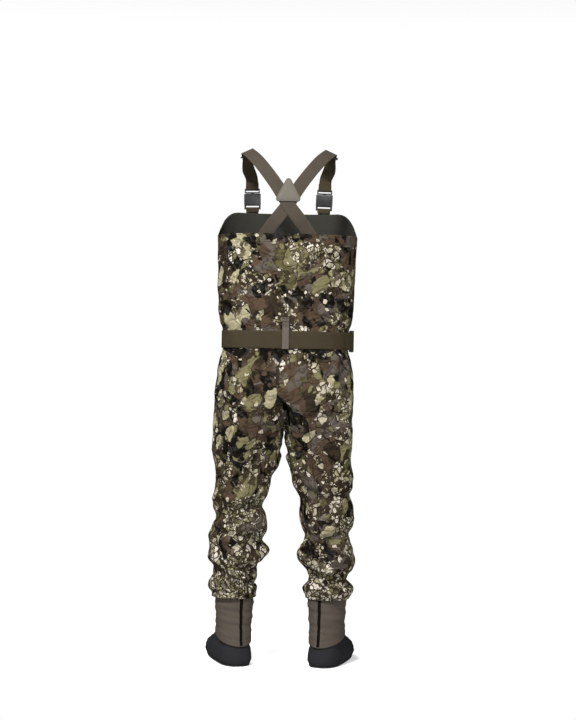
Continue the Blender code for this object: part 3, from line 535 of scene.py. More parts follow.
class Shell:
    """The shell as one surface. Each face knows its panel, its corners' places on the flat cloth, and their
    distances from the panel's side seam and from its nearest hem."""

    def __init__(self):
        self.points, self.faces, self.flat, self.edges, self.panels = [], [], [], [], []
        self.add_legs(self.add_trunk())

    def row(self, places):
        start = len(self.points)
        self.points.extend(Vector(p) for p in places)
        return list(range(start, len(self.points)))

    def face(self, panel, corners):
        self.faces.append([c[0] for c in corners])
        self.flat.append([c[1][0] for c in corners])
        self.edges.append([c[1][1] for c in corners])
        self.panels.append(panel)

    def measured(self, row, columns, middle, drops, hems):
        """For each column of a panel's row: its place on the flat cloth, and how far side and hem are."""
        steps = [(self.points[row[b]] - self.points[row[a]]).length for a, b in zip(columns, columns[1:])]
        along = np.concatenate([[0], np.cumsum(steps)])
        sides = np.minimum(along, along[-1] - along)
        return [((u - along[middle], v), (side, hem)) for u, v, side, hem in zip(along, drops, sides, hems)]

    def add_trunk(self):
        """The bib, belt line and hips, in rows from the top edge down. Gives the last row."""
        angles = round_angles(ROUND)
        tops = [top_edge(a) for a in angles]
        rows = []
        for r in range(BIB_ROWS + 1):
            share = 1 - r / BIB_ROWS
            heights = [BELT_TOP_Z + (top - BELT_TOP_Z) * share for top in tops]
            rows.append(self.row(trunk_point(a, height) for a, height in zip(angles, heights)))
        for count, high, low in ((BELT_ROWS, BELT_TOP_Z, WAIST_Z), (HIP_ROWS, WAIST_Z, HIP_END_Z)):
            for r in range(1, count + 1):
                height = high + (low - high) * r / count
                rows.append(self.row(trunk_point(a, height) for a in angles))
        halves = ((0, "bib_back_panel", "seat_panel"), (HALF, "bib_front_panel", "hip_front_panel"))
        for start, upper, lower in halves:
            columns = [(start + k) % ROUND for k in range(HALF + 1)]
            grid = []
            for row in rows:
                heights = [self.points[row[c]].z for c in columns]
                hems = [tops[c] - height for c, height in zip(columns, heights)]
                grid.append(self.measured(row, columns, QUARTER, heights, hems))
            for r in range(len(rows) - 1):
                s = r + 1
                for k in range(HALF):
                    a, b = columns[k], columns[k + 1]
                    corners = ((rows[r][a], grid[r][k]), (rows[s][a], grid[s][k]))
                    corners += ((rows[s][b], grid[s][k + 1]), (rows[r][b], grid[r][k + 1]))
                    self.face(upper if r < BIB_ROWS + BELT_ROWS else lower, corners)
        return rows[-1]

    def add_legs(self, last):
        """The crotch's line across the trunk's last row, then each leg in rings from there to its hem."""
        front, back = self.points[last[3 * QUARTER]], self.points[last[QUARTER]]
        places = []
        for n in range(1, CROTCH_POINTS + 1):
            share = n / (CROTCH_POINTS + 1)
            dip = (front.z - CROTCH_Z) * math.sin(math.pi * share)
            places.append(front.lerp(back, share) - Vector((0, 0, dip)))
        crotch = self.row(places)
        for side, name in SIDES:
            ring = [last[(QUARTER - side * k) % ROUND] for k in range(HALF + 1)] + crotch
            start = [self.points[i].copy() for i in ring]
            thigh = [leg_point(side, k, THIGH_Z) for k in range(LEG_ROUND)]
            rings, drops = [ring], [np.array([p.z for p in start])]
            for r in range(1, FORK_ROWS + 1):
                share = r / FORK_ROWS
                rings.append(self.row(top.lerp(low, share) for top, low in zip(start, thigh)))
            for r in range(1, LEG_ROWS + 1):
                height = THIGH_Z + (HEM_Z - THIGH_Z) * r / LEG_ROWS
                rings.append(self.row(leg_point(side, k, height) for k in range(LEG_ROUND)))
            for above, below in zip(rings, rings[1:]):
                fall = [(self.points[a] - self.points[b]).length for a, b in zip(above, below)]
                drops.append(drops[-1] - np.array(fall))
            outer = list(range(BACK_SEAM, FRONT_SEAM + 1))
            inner = [k % LEG_ROUND for k in range(FRONT_SEAM, LEG_ROUND + BACK_SEAM + 1)]
            for columns, panel in ((outer, name + "_leg_outer_panel"), (inner, name + "_leg_inner_panel")):
                places = []
                for row, drop in zip(rings, drops):
                    hems = [self.points[row[c]].z - HEM_Z for c in columns]
                    places.append(self.measured(row, columns, len(columns) // 2, drop[columns], hems))
                for r in range(len(rings) - 1):
                    s = r + 1
                    for k in range(len(columns) - 1):
                        a, b = columns[k], columns[k + 1]
                        corners = [(rings[r][a], places[r][k]), (rings[r][b], places[r][k + 1])]
                        corners += [(rings[s][b], places[s][k + 1]), (rings[s][a], places[s][k])]
                        if side < 0:
                            corners.reverse()
                        gusset = r < FORK_ROWS and columns is inner and a >= HALF
                        self.face("crotch_gusset" if gusset else panel, corners)


def neighbour_lists(count, faces):
    near = [set() for _ in range(count)]
    for face in faces:
        for a, b in zip(face, face[1:] + face[:1]):
            near[a].add(b)
            near[b].add(a)
    return [list(n) for n in near]


def relax_fork(points, faces):
    """Rounds the fork between the legs, where the trunk's surface meets the legs' with an edge."""
    near = neighbour_lists(len(points), faces)
    share = np.array([smoothstep(min((z - 0.56) / 0.08, (0.80 - z) / 0.05, 1)) for z in points[:, 2]])
    zone = [i for i in range(len(points)) if share[i] > 0]
    for _ in range(30):
        moved = points.copy()
        for i in zone:
            moved[i] += (points[near[i]].mean(axis=0) - points[i]) * (0.6 * share[i])
        points = moved
    return points


def face_crosses(points, faces):
    """Each four-sided face's normal, twice as long as its area."""
    corners = points[np.array(faces)]
    return np.cross(corners[:, 2] - corners[:, 0], corners[:, 3] - corners[:, 1])


def surface_normals(points, faces):
    across = face_crosses(points, faces)
    normals = np.zeros_like(points)
    for k in range(4):
        np.add.at(normals, np.array(faces)[:, k], across)
    return normals / np.maximum(np.linalg.norm(normals, axis=1), 1e-12)[:, None]


# Folds of cloth bunched on the lower legs: side, height at the inseam, height at the outseam, half height,
# how far they stand out at the inseam and at the outseam, and how much higher they lie at the back.
LEG_FOLDS = (
    (1, 0.428, 0.385, 0.048, 0.0190, 0.0150, 0.010),
    (1, 0.342, 0.315, 0.030, 0.0200, 0.0090, -0.012),
    (1, 0.268, 0.240, 0.030, 0.0080, 0.0110, 0.006),
    (1, 0.510, 0.470, 0.036, 0.0070, 0.0060, 0.020),
    (-1, 0.455, 0.440, 0.052, 0.0130, 0.0080, 0.006),
    (-1, 0.326, 0.318, 0.040, 0.0190, 0.0160, 0.012),
    (-1, 0.240, 0.232, 0.026, 0.0090, 0.0110, -0.008),
    (-1, 0.530, 0.560, 0.040, 0.0060, 0.0070, -0.015),
)
# Creases drawn over the back: the (x, z) places each runs through, its half width and its depth.
CREASES = (
    (((0.190, 0.775), (0.112, 0.735), (0.050, 0.722), (0.006, 0.742)), 0.008, 0.0085),
    (((-0.004, 0.742), (-0.040, 0.724), (-0.110, 0.722), (-0.170, 0.745)), 0.007, 0.0065),
    (((-0.045, 0.662), (-0.120, 0.672)), 0.007, 0.0050),
    (((0.030, 0.690), (0.075, 0.610), (0.150, 0.520)), 0.010, 0.0060),
    (((-0.040, 0.640), (-0.100, 0.560), (-0.165, 0.500)), 0.009, 0.0055),
    (((0.185, 0.475), (0.120, 0.452), (0.065, 0.478)), 0.008, 0.0080),
    (((0.190, 0.395), (0.130, 0.368), (0.060, 0.388)), 0.008, 0.0095),
    (((0.180, 0.310), (0.125, 0.290), (0.075, 0.300)), 0.007, 0.0080),
    (((-0.055, 0.520), (-0.110, 0.492), (-0.185, 0.508)), 0.008, 0.0070),
    (((-0.055, 0.400), (-0.115, 0.370), (-0.190, 0.395)), 0.008, 0.0095),
    (((-0.060, 0.290), (-0.120, 0.262), (-0.185, 0.276)), 0.007, 0.0080),
    (((0.085, 1.205), (0.045, 1.110), (0.020, 1.030)), 0.012, 0.0060),
    (((-0.095, 1.195), (-0.050, 1.110), (-0.022, 1.030)), 0.012, 0.0060),
    (((-0.190, 1.032), (-0.110, 1.014), (-0.045, 1.020)), 0.006, 0.0045),
    (((0.180, 1.048), (0.100, 1.018), (0.050, 1.022)), 0.006, 0.0040),
)
# Hollows at the back: (x, z) centre, reach and depth.
HOLLOWS = (
    ((0.004, 0.742), (0.017, 0.024), 0.055),
    ((-0.004, 0.712), (0.009, 0.030), 0.030),
    ((0.000, 0.830), (0.014, 0.060), 0.006),
)


def slackness(z, to_back):
    """How far the cloth crumples at each height: most on the lower legs, not at all where it is held."""
    stops = (0.228, 0.250, 0.450, 0.600, 0.720, 0.860, 0.905, 0.985, 1.010, 1.100, 1.210, 1.250)
    depths = (0.0004, 0.0085, 0.0100, 0.0065, 0.0065, 0.0060, 0, 0, 0.0070, 0.0070, 0.0035, 0.0008)
    depth = np.interp(z, stops, depths)
    return depth * np.where(z > 0.95, np.clip(to_back * 2 + 0.5, 0, 1), 1)


def crumple(x, y, z):
    """0 along creases, rising in the swellings between them. They lean from the fork down to the outseam."""
    found = np.empty(len(x))
    for n, (px, py, pz) in enumerate(zip(x, y, z)):
        across, up = (abs(px), pz + 0.5 * abs(px)) if pz < 0.74 else (px * 2.4, pz * 0.55)
        side = math.copysign(7, px) if pz < 0.70 else 0
        wide = abs(noise.noise(Vector((across * 7 + side, py * 7, up * 17))))
        fine = abs(noise.noise(Vector((across * 15, py * 13 + side, up * 36 + 9))))
        found[n] = wide + 0.45 * fine
    return found


def crease_depth(x, z, path, half_width, depth):
    """A crease's sharp valley along a path, with the cloth swelling on its upper side."""
    nearest, above = np.full(len(x), 1.0), np.zeros(len(x))
    for (ax, az), (bx, bz) in zip(path, path[1:]):
        length = math.hypot(bx - ax, bz - az)
        ux, uz = (bx - ax) / length, (bz - az) / length
        run = np.clip((x - ax) * ux + (z - az) * uz, 0, length)
        dx, dz = x - ax - run * ux, z - az - run * uz
        away = np.hypot(dx, dz)
        above = np.where(away < nearest, dz, above)
        nearest = np.minimum(nearest, away)
    valley = np.exp(-((nearest / half_width) ** 1.5))
    swell = np.exp(-(((nearest - 2.2 * half_width) / (1.4 * half_width)) ** 2)) * (above > 0)
    return depth * (0.6 * swell - valley)


def sculpt(points, normals):
    """Lays the large folds: bunched cloth on the lower legs, gathers at the belt, and a crumple all over."""
    x, y, z = points[:, 0], points[:, 1] - HOME.y, points[:, 2]
    side = np.sign(x)
    centre = np.array([between(LEG, h)[0] for h in np.clip(z, HEM_Z, THIGH_Z)])
    to_outseam = np.clip((np.abs(x) - centre) / 0.08, -1, 1)
    to_back = np.clip(y / 0.085, -1, 1)
    out = np.zeros(len(points))
    for leg, inner, outer, half, stand_in, stand_out, lean in LEG_FOLDS:
        share = (to_outseam + 1) / 2
        middle = inner + (outer - inner) * share + lean * to_back
        middle = middle + 0.006 * np.sin(7 * to_outseam + 40 * inner + 3 * to_back)
        t = np.abs(z - middle) / half
        rise = np.clip(1 - t**1.8, 0, 1)
        stand = (stand_in + (stand_out - stand_in) * share) * (0.75 + 0.25 * np.abs(to_outseam))
        out = np.where((side == leg) & (z < 0.64), np.maximum(out, rise * stand), out)
    inward = 0.0060 + 0.0050 * np.clip(-to_outseam, 0, 1)
    out -= inward * np.clip((0.62 - z) / 0.10, 0, 1) * np.clip((z - 0.228) / 0.02, 0, 1)
    turn = np.arctan2(y / 0.13, x / 0.2)
    for z0, fade, count, depth, phase in ((0.985, 0.040, 21, 0.0030, 0.3), (0.912, -0.045, 23, 0.0042, 1.1)):
        away = (z - z0) / fade
        gather = np.sin(count * turn + phase + 2.2 * np.sin(3 * turn + phase) + 1.5 * away)
        out += np.where(away > 0, depth * gather * np.exp(-away) * np.clip(away * 3, 0, 1), 0)
    facing = 1 - 0.4 * np.clip(-to_outseam, 0, 1) * (z < 0.72)
    out += slackness(z, to_back) * facing * (2.0 * crumple(x, y, z) - 0.8)
    return points + normals * (out * off_loop(x, z))[:, None]


def off_loop(x, z):
    """0 under the belt loop at the middle of the back, and 1 away from it."""
    return 1 - np.exp(-((x / 0.028) ** 2)) * (np.abs(z - 0.95) < 0.075)


def crease(points, normals):
    """Draws the creases and hollows of the back into the hung cloth."""
    x, y, z = points[:, 0], points[:, 1] - HOME.y, points[:, 2]
    behind = np.clip(y / 0.034, 0, 1)
    out = np.zeros(len(points))
    for path, half_width, depth in CREASES:
        wave = 0.004 * np.sin(45 * x + 30 * z)
        out += behind * crease_depth(x, z + wave, path, half_width, depth)
    for (dx, dz), (rx, rz), depth in HOLLOWS:
        out -= behind * depth * np.exp(-(((x - dx) / rx) ** 2 + ((z - dz) / rz) ** 2))
    return points + normals * (out * off_loop(x, z))[:, None]


def slack_height(z):
    """Where each height would lie if the cloth, cut longer than the body, hung out its full length."""
    heights = np.linspace(0.19, 1.34, 600)
    stops = (0.19, 0.42, 0.60, 0.72, 0.86, 0.915, 0.981, 1.05, 1.33)
    growth = np.interp(heights, stops, (1.11, 1.10, 1.08, 1.07, 1.07, 1.0, 1.0, 1.06, 1.05))
    total = np.concatenate([[0], np.cumsum((growth[1:] + growth[:-1]) / 2 * np.diff(heights))])
    return np.interp(z, heights, 0.19 + total)


DRAPE_FRAMES, DRAPE_REACH, LOOSE_HOLD = 36, 0.014, 0.045
CLOTH = {
    "quality": 5,
    "mass": 0.25,
    "tension_stiffness": 25,
    "compression_stiffness": 25,
    "shear_stiffness": 8,
    "bending_stiffness": 0.45,
    "tension_damping": 15,
    "compression_damping": 15,
    "shear_damping": 10,
    "bending_damping": 2.0,
    "air_damping": 2.0,
}


def drape(points, faces):
    """Lets the slack cloth buckle under its own weight, held at the belt, the hems and the bib's edge."""
    mesh = bpy.data.meshes.new("drape")
    mesh.from_pydata(points.tolist(), [], faces)
    cloth = bpy.data.objects.new("drape", mesh)
    scene.collection.objects.link(cloth)
    cloth.shape_key_add(name="Basis")
    slack = cloth.shape_key_add(name="slack")
    rest = points.copy()
    rest[:, 2] = slack_height(points[:, 2])
    slack.data.foreach_set("co", rest.ravel())
    held = cloth.vertex_groups.new(name="held")
    for i, (x, y, z) in enumerate(points):
        edge = top_edge(math.atan2(y - HOME.y, x))
        fast = 0.913 < z < 0.983 or z < 0.2 or z > edge - 0.006
        held.add([i], 1.0 if fast else LOOSE_HOLD, "REPLACE")
    step = cloth.modifiers.new("cloth", "CLOTH")
    for setting, value in CLOTH.items():
        setattr(step.settings, setting, value)
    step.settings.vertex_group_mass = "held"
    step.settings.rest_shape_key = slack
    step.settings.effector_weights.gravity = 0.14
    step.collision_settings.use_collision = False
    step.point_cache.frame_start, step.point_cache.frame_end = 1, DRAPE_FRAMES + 1
    for number in range(1, DRAPE_FRAMES + 1):
        scene.frame_set(number)
    shaped = cloth.evaluated_get(bpy.context.evaluated_depsgraph_get()).data
    found = np.empty(len(points) * 3)
    shaped.vertices.foreach_get("co", found)
    scene.frame_set(1)
    bpy.data.objects.remove(cloth)
    moved = found.reshape(-1, 3) - points
    length = np.linalg.norm(moved, axis=1)
    return points + moved * np.minimum(1, DRAPE_REACH / np.maximum(length, 1e-9))[:, None]


# Each panel, and what it hangs from.
PANELS = {
    "bib_back_panel": ["left_back_strap", "right_back_strap"],
    "bib_front_panel": ["left_front_anchor_tab", "right_front_anchor_tab"],
    "seat_panel": ["bib_back_panel", "belt_webbing"],
    "hip_front_panel": ["bib_front_panel", "belt_webbing"],
    "crotch_gusset": ["seat_panel", "hip_front_panel"],
    "left_leg_outer_panel": ["seat_panel", "hip_front_panel"],
    "left_leg_inner_panel": ["seat_panel", "hip_front_panel", "crotch_gusset"],
    "right_leg_outer_panel": ["seat_panel", "hip_front_panel"],
    "right_leg_inner_panel": ["seat_panel", "hip_front_panel", "crotch_gusset"],
}


def make_shell():
    """Shapes the shell in one piece, rounds it, then cuts it into its panels and gives each its thickness."""
    shell = Shell()
    points = relax_fork(np.array([tuple(p) for p in shell.points]), shell.faces)
    cut = np.linalg.norm(face_crosses(points, shell.faces), axis=1) / 2
    points = sculpt(points, surface_normals(points, shell.faces))
    points = drape(points, shell.faces)
    points = crease(points, surface_normals(points, shell.faces))
    names = list(PANELS)
    picks = [names.index(p) for p in shell.panels]
    whole = make_piece("shell", points, shell.faces, [PRINT] * len(names), shell.flat, shell.edges, picks)
    subdivide(whole)
    mesh = whole.data
    count = len(mesh.polygons)
    fine = np.empty(len(mesh.vertices) * 3)
    mesh.vertices.foreach_get("co", fine)
    fine = fine.reshape(-1, 3)
    faces = np.empty(count * 4, np.int32)
    mesh.loops.foreach_get("vertex_index", faces)
    faces = faces.reshape(-1, 4)
    panel_of = np.empty(count, np.int32)
    mesh.polygons.foreach_get("material_index", panel_of)
    layers = {}
    for layer in ("UVMap", "Edges"):
        values = np.empty(count * 8)
        mesh.uv_layers[layer].data.foreach_get("uv", values)
        layers[layer] = values.reshape(-1, 4, 2)
    normals = surface_normals(fine, faces.tolist())
    seam = np.full(len(fine), 1.0)
    np.minimum.at(seam, faces.ravel(), layers["Edges"][:, :, 0].ravel())
    # A stitched seam: the cloth dips at the seam itself and stands up beside it.
    welt = 0.0007 * np.exp(-(((seam - 0.0055) / 0.004) ** 2)) - 0.0011 * np.exp(-((seam / 0.0022) ** 2))
    fine += normals * welt[:, None]
    bpy.data.objects.remove(whole)
    for n, name in enumerate(names):
        chosen = panel_of == n
        used, local = np.unique(faces[chosen], return_inverse=True)
        flat, edges = layers["UVMap"][chosen], layers["Edges"][chosen]
        local = local.reshape(-1, 4)
        piece = make_piece(name + "_cloth", fine[used], local, [PRINT, LINING], flat, edges, smooth=80)
        thicken(piece, LAMINATE, inner=1)
        piece.data.shade_smooth()
        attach(piece, "garment")
        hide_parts(name)


make_shell()


# ---------------------------------------------------------------- webbing
BELT_WIDTH, STRAP_WIDTH, ELASTIC_THICK, WEB_THICK, BELT_THICK = 0.0508, 0.038, 0.0020, 0.0016, 0.0024
SHOULDER = Vector((0.121, -0.004, 1.494))
SOCKET_LENGTH, BAR_CLEAR, MIDDLE_BAR, BELT_OUT = 0.034, 0.0034, 0.0133, 0.0023


def smooth_route(stops, step=0.005):
    """A smooth curve through stops of (point, outward), as evenly spaced (point, outward) pairs."""
    route = []
    for n in range(len(stops) - 1):
        four = [stops[min(max(n + k, 0), len(stops) - 1)] for k in (-1, 0, 1, 2)]
        a, b, c, d = (Vector(s[0]) for s in four)
        count = max(1, round((c - b).length / step))
        for k in range(count):
            t = k / count
            bend = (2 * a - 5 * b + 4 * c - d) * t**2 + (3 * b - 3 * c + d - a) * t**3
            outward = Vector(four[1][1]).lerp(Vector(four[2][1]), t)
            route.append((0.5 * (2 * b + (c - a) * t + bend), outward))
    route.append((Vector(stops[-1][0]), Vector(stops[-1][1])))
    return route


def turn_round(bar, along, outward, radius, run, steps=14):
    """The route of a strap that comes along on the outward side of a bar, turns round it, and runs back."""
    along, outward = Vector(along).normalized(), Vector(outward).normalized()
    route = []
    for n in range(steps + 1):
        angle = math.pi * n / steps
        away = outward * math.cos(angle) + along * math.sin(angle)
        route.append((Vector(bar) + away * radius, away))
    for n in range(1, 5):
        route.append((Vector(bar) - outward * radius - along * run * n / 4, -outward))
    return route


def profile(width, thickness):
    """A strap's cross-section, anticlockwise: flat faces between rounded edges."""
    half, high, edge = width / 2, thickness / 2, thickness * 0.42
    flats = [-1 + 2 * n / 8 for n in range(9)]
    points = [((half - edge) * f, -high) for f in flats]
    points += [(half - edge * 0.25, -high * 0.62), (half, 0), (half - edge * 0.25, high * 0.62)]
    points += [((half - edge) * f, high) for f in reversed(flats)]
    points += [(-half + edge * 0.25, high * 0.62), (-half, 0), (-half + edge * 0.25, -high * 0.62)]
    return points


def ribbon(name, route, width, thickness, paint, across=None):
    """A strap along a route of (point, outward). across fixes its width's direction."""
    section = profile(width, thickness)
    size = len(section)
    points, travel = [], [0.0]
    for n, (point, outward) in enumerate(route):
        before, after = route[max(n - 1, 0)][0], route[min(n + 1, len(route) - 1)][0]
        along = (after - before).normalized()
        side = Vector(across).normalized() if across is not None else outward.cross(along).normalized()
        up = along.cross(side).normalized()
        points += [point + side * u + up * h + HOME for u, h in section]
        if n:
            travel.append(travel[-1] + (point - route[n - 1][0]).length)
    faces, flat = [], []
    for n in range(len(route) - 1):
        for k in range(size):
            m = (k + 1) % size
            faces.append((n * size + k, n * size + m, (n + 1) * size + m, (n + 1) * size + k))
            left, right, near, far = section[k][0], section[m][0], travel[n], travel[n + 1]
            flat += [(left, near), (right, near), (right, far), (left, far)]
    last = (len(route) - 1) * size
    for base, order, v in ((0, reversed(range(size)), 0.0), (last, range(size), travel[-1])):
        cap = tuple(base + k for k in order)
        faces.append(cap)
        flat += [(section[k - base][0], v) for k in cap]
    return make_piece(name, points, faces, [paint], flat, smooth=60)


def stitch_line(name, path, pitch=0.0042, length=0.0028, radius=0.00038):
    """Stitches along a path of (point, outward): each is a short pod whose ends sink into the cloth."""
    points, faces, gone, due = [], [], 0.0, pitch / 2
    for (a, up_a), (b, up_b) in zip(path, path[1:]):
        step = (b - a).length
        while step > 0 and gone + step >= due:
            share = (due - gone) / step
            middle, up = a.lerp(b, share), up_a.lerp(up_b, share).normalized()
            along = (b - a).normalized()
            side = along.cross(up).normalized()
            base, sunk = len(points), up * radius * 0.6
            points += [middle - along * length / 2 - sunk, middle + along * length / 2 - sunk]
            for end in (-0.3, 0.3):
                for k in range(6):
                    angle = math.pi * k / 3
                    spot = side * math.cos(angle) + up * math.sin(angle)
                    points.append(middle + along * length * end + spot * radius * 0.9 + up * radius * 0.25)
            for k in range(6):
                m = (k + 1) % 6
                faces.append((base, base + 2 + m, base + 2 + k))
                faces.append((base + 2 + k, base + 2 + m, base + 8 + m, base + 8 + k))
                faces.append((base + 1, base + 8 + k, base + 8 + m))
            due += pitch
        gone += step
    return make_piece(name, [p + HOME for p in points], faces, [THREAD], smooth=80)


def riding(piece, body, slot, *nodes):
    """The piece moves with the body and stands for the nodes. The slot is not used."""
    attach(piece, body)
    if nodes:
        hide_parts(*nodes)
    return piece


def mirrored(vector, side):
    return Vector((side * vector[0], vector[1], vector[2]))


def shoulder_place(side):
    return frame_at(mirrored(SHOULDER, side), (side * 0.06, -0.99, 0.02), (side * 0.42, 0.05, 0.90))


def front_place(side):
    return frame_at((side * 0.108, -0.1262, 1.356), (side * 0.03, 0.06, 1), (side * 0.27, -0.96, 0.05))


def belt_place():
    return frame_at((-0.1935, 0.0215, WAIST_Z), (0, -1, 0), (-1, 0, 0))


def socket_bar(place):
    return place @ Vector((-0.0120, 0, 0))


def plug_bar(place):
    return place @ Vector((SOCKET_LENGTH + 0.0131, 0, 0))


# The left shoulder's strap starts at the right of the back and crosses outside the other one.
BACK_ROUTE = (
    ((-0.0840, 0.1120, 1.215), (0, 1, -0.10)),
    ((-0.0690, 0.1165, 1.240), (0, 1, -0.12)),
    ((-0.0500, 0.1245, 1.270), (0, 1, -0.12)),
    ((-0.0290, 0.1325, 1.298), (0, 1, 0.05)),
    ((0.0000, 0.1300, 1.336), (0, 1, 0.08)),
    ((0.0310, 0.1255, 1.386), (0, 1, 0.09)),
    ((0.0640, 0.1110, 1.432), (0.10, 1, 0.50)),
    ((0.0960, 0.0700, 1.473), (0.32, 0.55, 0.80)),
)
# How far each side's strap stands off that route, so that one passes over the other.
CROSSING = {
    1: (0, 0.0014, 0.0014, 0.0016, 0.0016, 0.0016, 0, 0),
    -1: (0, 0, 0, -0.0016, -0.0016, -0.0016, 0, 0),
}
TURN_REACH = 0.055


def lock_turn(place):
    """The front webbing at the ladder lock: in under it, over its middle bar, and out as a free tail."""
    radius, under, tail = 0.0030 + WEB_THICK / 2, -0.0051, -0.0031
    turn = [(0.0420, under), (0.0300, under), (0.0160, under)]
    for n in range(13):
        angle = math.radians(250 - 205 * n / 12)
        turn.append((MIDDLE_BAR + radius * math.cos(angle), radius * math.sin(angle)))
    turn += [(MIDDLE_BAR + 0.0054, 0.0), (MIDDLE_BAR + 0.0076, tail), (0.0300, tail), (0.0470, tail - 0.0002)]
    return [place @ Vector((x, 0, z)) for x, z in turn]


def make_back_strap(side, name):
    """The elastic: up the back, over the crossing and the shoulder, and round the ladder lock's bar."""
    lock = shoulder_place(side)
    forward, _, out = lock.to_3x3().transposed()
    lifts = [Vector((0, lift, 0)) for lift in CROSSING[side]]
    stops = [(mirrored(p, side) + lift, mirrored(n, side)) for (p, n), lift in zip(BACK_ROUTE, lifts)]
    bar, radius = lock.translation, BAR_CLEAR + ELASTIC_THICK / 2
    arrive = (bar - forward * 0.028 + out * radius * 1.2, out)
    route = smooth_route([*stops, arrive, (bar - forward * 0.010 + out * radius, out)])
    route += turn_round(bar, forward, out, radius, 0.022)
    strap = ribbon(name + "_suspender", route, STRAP_WIDTH, ELASTIC_THICK, ELASTIC)
    riding(strap, "garment", "suspender_elastic", name + "_back_strap")


def make_front_webbing(side, name):
    """The webbing from the ladder lock to the front buckle's plug, in two pieces that meet below the lock."""
    lock, buckle = shoulder_place(side), front_place(side)
    _, sideways, out = lock.to_3x3().transposed()
    up, _, face = buckle.to_3x3().transposed()
    radius, bar = BAR_CLEAR + WEB_THICK / 2, plug_bar(buckle)
    route = smooth_route([
        (lock @ Vector((0.0424, 0, -0.0051)), out),
        (lock @ Vector((0.0520, 0, -0.0062)), out),
        (mirrored((0.1225, -0.0870, 1.4630), side), mirrored((0.26, -0.75, 0.60), side)),
        (bar + up * 0.034 + face * radius * 1.4, face),
        (bar + up * 0.008 + face * radius, face),
    ])
    travel, meet = 0.0, 0
    while travel < TURN_REACH:
        travel += (route[meet + 1][0] - route[meet][0]).length
        meet += 1
    path = [(p, out) for p in reversed(lock_turn(lock))] + route[1 : meet + 1]
    narrow = STRAP_WIDTH - 0.001
    shoulder = ribbon(name + "_shoulder_webbing", path, narrow, WEB_THICK, WEBBING, sideways)
    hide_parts(name + "_webbing_turn")
    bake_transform(shoulder)

    drop = route[meet:] + turn_round(bar, -up, face, radius, 0.020)
    web = ribbon(name + "_chest_webbing", drop, STRAP_WIDTH, WEB_THICK, WEBBING)
    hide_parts(name + "_front_webbing")
    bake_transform(web)


def make_chest_tab(side, name):
    """The tab that holds the front buckle's socket on the bib, with a stitched box and its diagonals."""
    buckle = front_place(side)
    up, across, face = buckle.to_3x3().transposed()
    radius, bar = BAR_CLEAR + WEB_THICK / 2, socket_bar(buckle)
    low = mirrored((0.1040, -0.1245, 1.262), side)
    route = smooth_route([(low, face), (low + (bar - up * 0.006 + face * radius - low) * 0.9, face)])
    route += turn_round(bar, up, face, radius, 0.0100)
    tab = ribbon(name + "_chest_tab", route, STRAP_WIDTH, WEB_THICK, WEBBING, across)
    riding(tab, "garment", "belt_webbing", name + "_front_anchor_tab")
    top, half = low + face * (WEB_THICK / 2 + 0.0001), across * 0.0155
    box = [top + half * u + up * v for u, v in ((-1, 0.003), (1, 0.003), (1, 0.030), (-1, 0.030))]
    path = [(p, face) for p in (*box, box[0], box[2], box[3], box[1])]
    riding(stitch_line(name + "_tab_stitching", path), "garment", "belt_webbing")


def upright(lean):
    """A turn that lays a flat drawing on the back: its X to the wearer's right, its Y along lean."""
    x = Vector((-1, 0, 0))
    return Matrix((x, lean, x.cross(lean).normalized())).transposed().to_4x4()


YOKE_AT, YOKE_LEAN = Vector((0, 0.1296, 1.345)), Vector((0, -0.083, 1)).normalized()


def make_yoke():
    """The patches over and under the crossing: a rounded triangle with its edge turned down and stitched."""
    half, height, corner, tip = 0.0350, 0.0660, 0.0075, 0.0085
    centres = ((-half + corner, corner - 0.0010), (half - corner, corner - 0.0010), (0, height - tip))
    spans = ((150, 275, corner), (265, 390, corner), (30, 150, tip))
    outline = []
    for (cx, cy), (first, last, radius) in zip(centres, spans):
        for n in range(9):
            angle = math.radians(first + (last - first) * n / 8)
            outline.append(Vector((cx + radius * math.cos(angle), cy + radius * math.sin(angle))))
    middle = sum(outline, Vector((0, 0))) / len(outline)
    count = len(outline)
    rounded_edge = ((1.0, -0.5), (1.0, 0.15), (0.985, 0.42), (0.955, 0.5))
    rings = (*rounded_edge, (0.90, 0.36), (0.86, 0.34), (0.82, 0.46), (0.5, 0.56))
    for name, node, out, thick, sign in (
        ("yoke_cover", "yoke_outer_patch", 0.0052, 0.0022, 1),
        ("yoke_backing", "yoke_inner_patch", -0.0050, 0.0014, -1),
    ):
        place = Matrix.Translation(YOKE_AT + Vector((0, out, 0))) @ upright(YOKE_LEAN)
        points, flat_of = [], []
        for scale, level in rings:
            for spot in outline:
                at = middle + (spot - middle) * scale
                points.append(place @ Vector((at.x, at.y, sign * level * thick)) + HOME)
                flat_of.append((at.x, at.y))
        points.append(place @ Vector((middle.x, middle.y, sign * 0.58 * thick)) + HOME)
        flat_of.append(tuple(middle))
        last = (len(rings) - 1) * count
        faces = []
        for base in range(0, last, count):
            for k in range(count):
                m = (k + 1) % count
                faces.append((base + k, base + m, base + count + m, base + count + k))
        faces += [(last + k, last + (k + 1) % count, len(points) - 1) for k in range(count)]
        faces.append(tuple(reversed(range(count))))
        if sign < 0:
            faces = [tuple(reversed(face)) for face in faces]
        flat = [flat_of[i] for face in faces for i in face]
        patch = make_piece(name, points, faces, [YOKE], flat, smooth=70)
        riding(patch, "garment", "yoke_patch", node)
        normal = place.to_3x3() @ Vector((0, 0, sign))
        path = []
        for spot in (*outline, outline[0]):
            at = middle + (spot - middle) * 0.88
            path.append((place @ Vector((*at, sign * thick * 0.42)), normal))
        riding(stitch_line(name + "_stitching", path), "garment", "yoke_patch")


# ---------------------------------------------------------------- belt
def hoop(degrees, lift=BELT_OUT):
    """A stop of the belt's route round the waist."""
    angle = math.radians(degrees)
    return trunk_point(angle, WAIST_Z, lift) - HOME, Vector((math.cos(angle), math.sin(angle), 0))


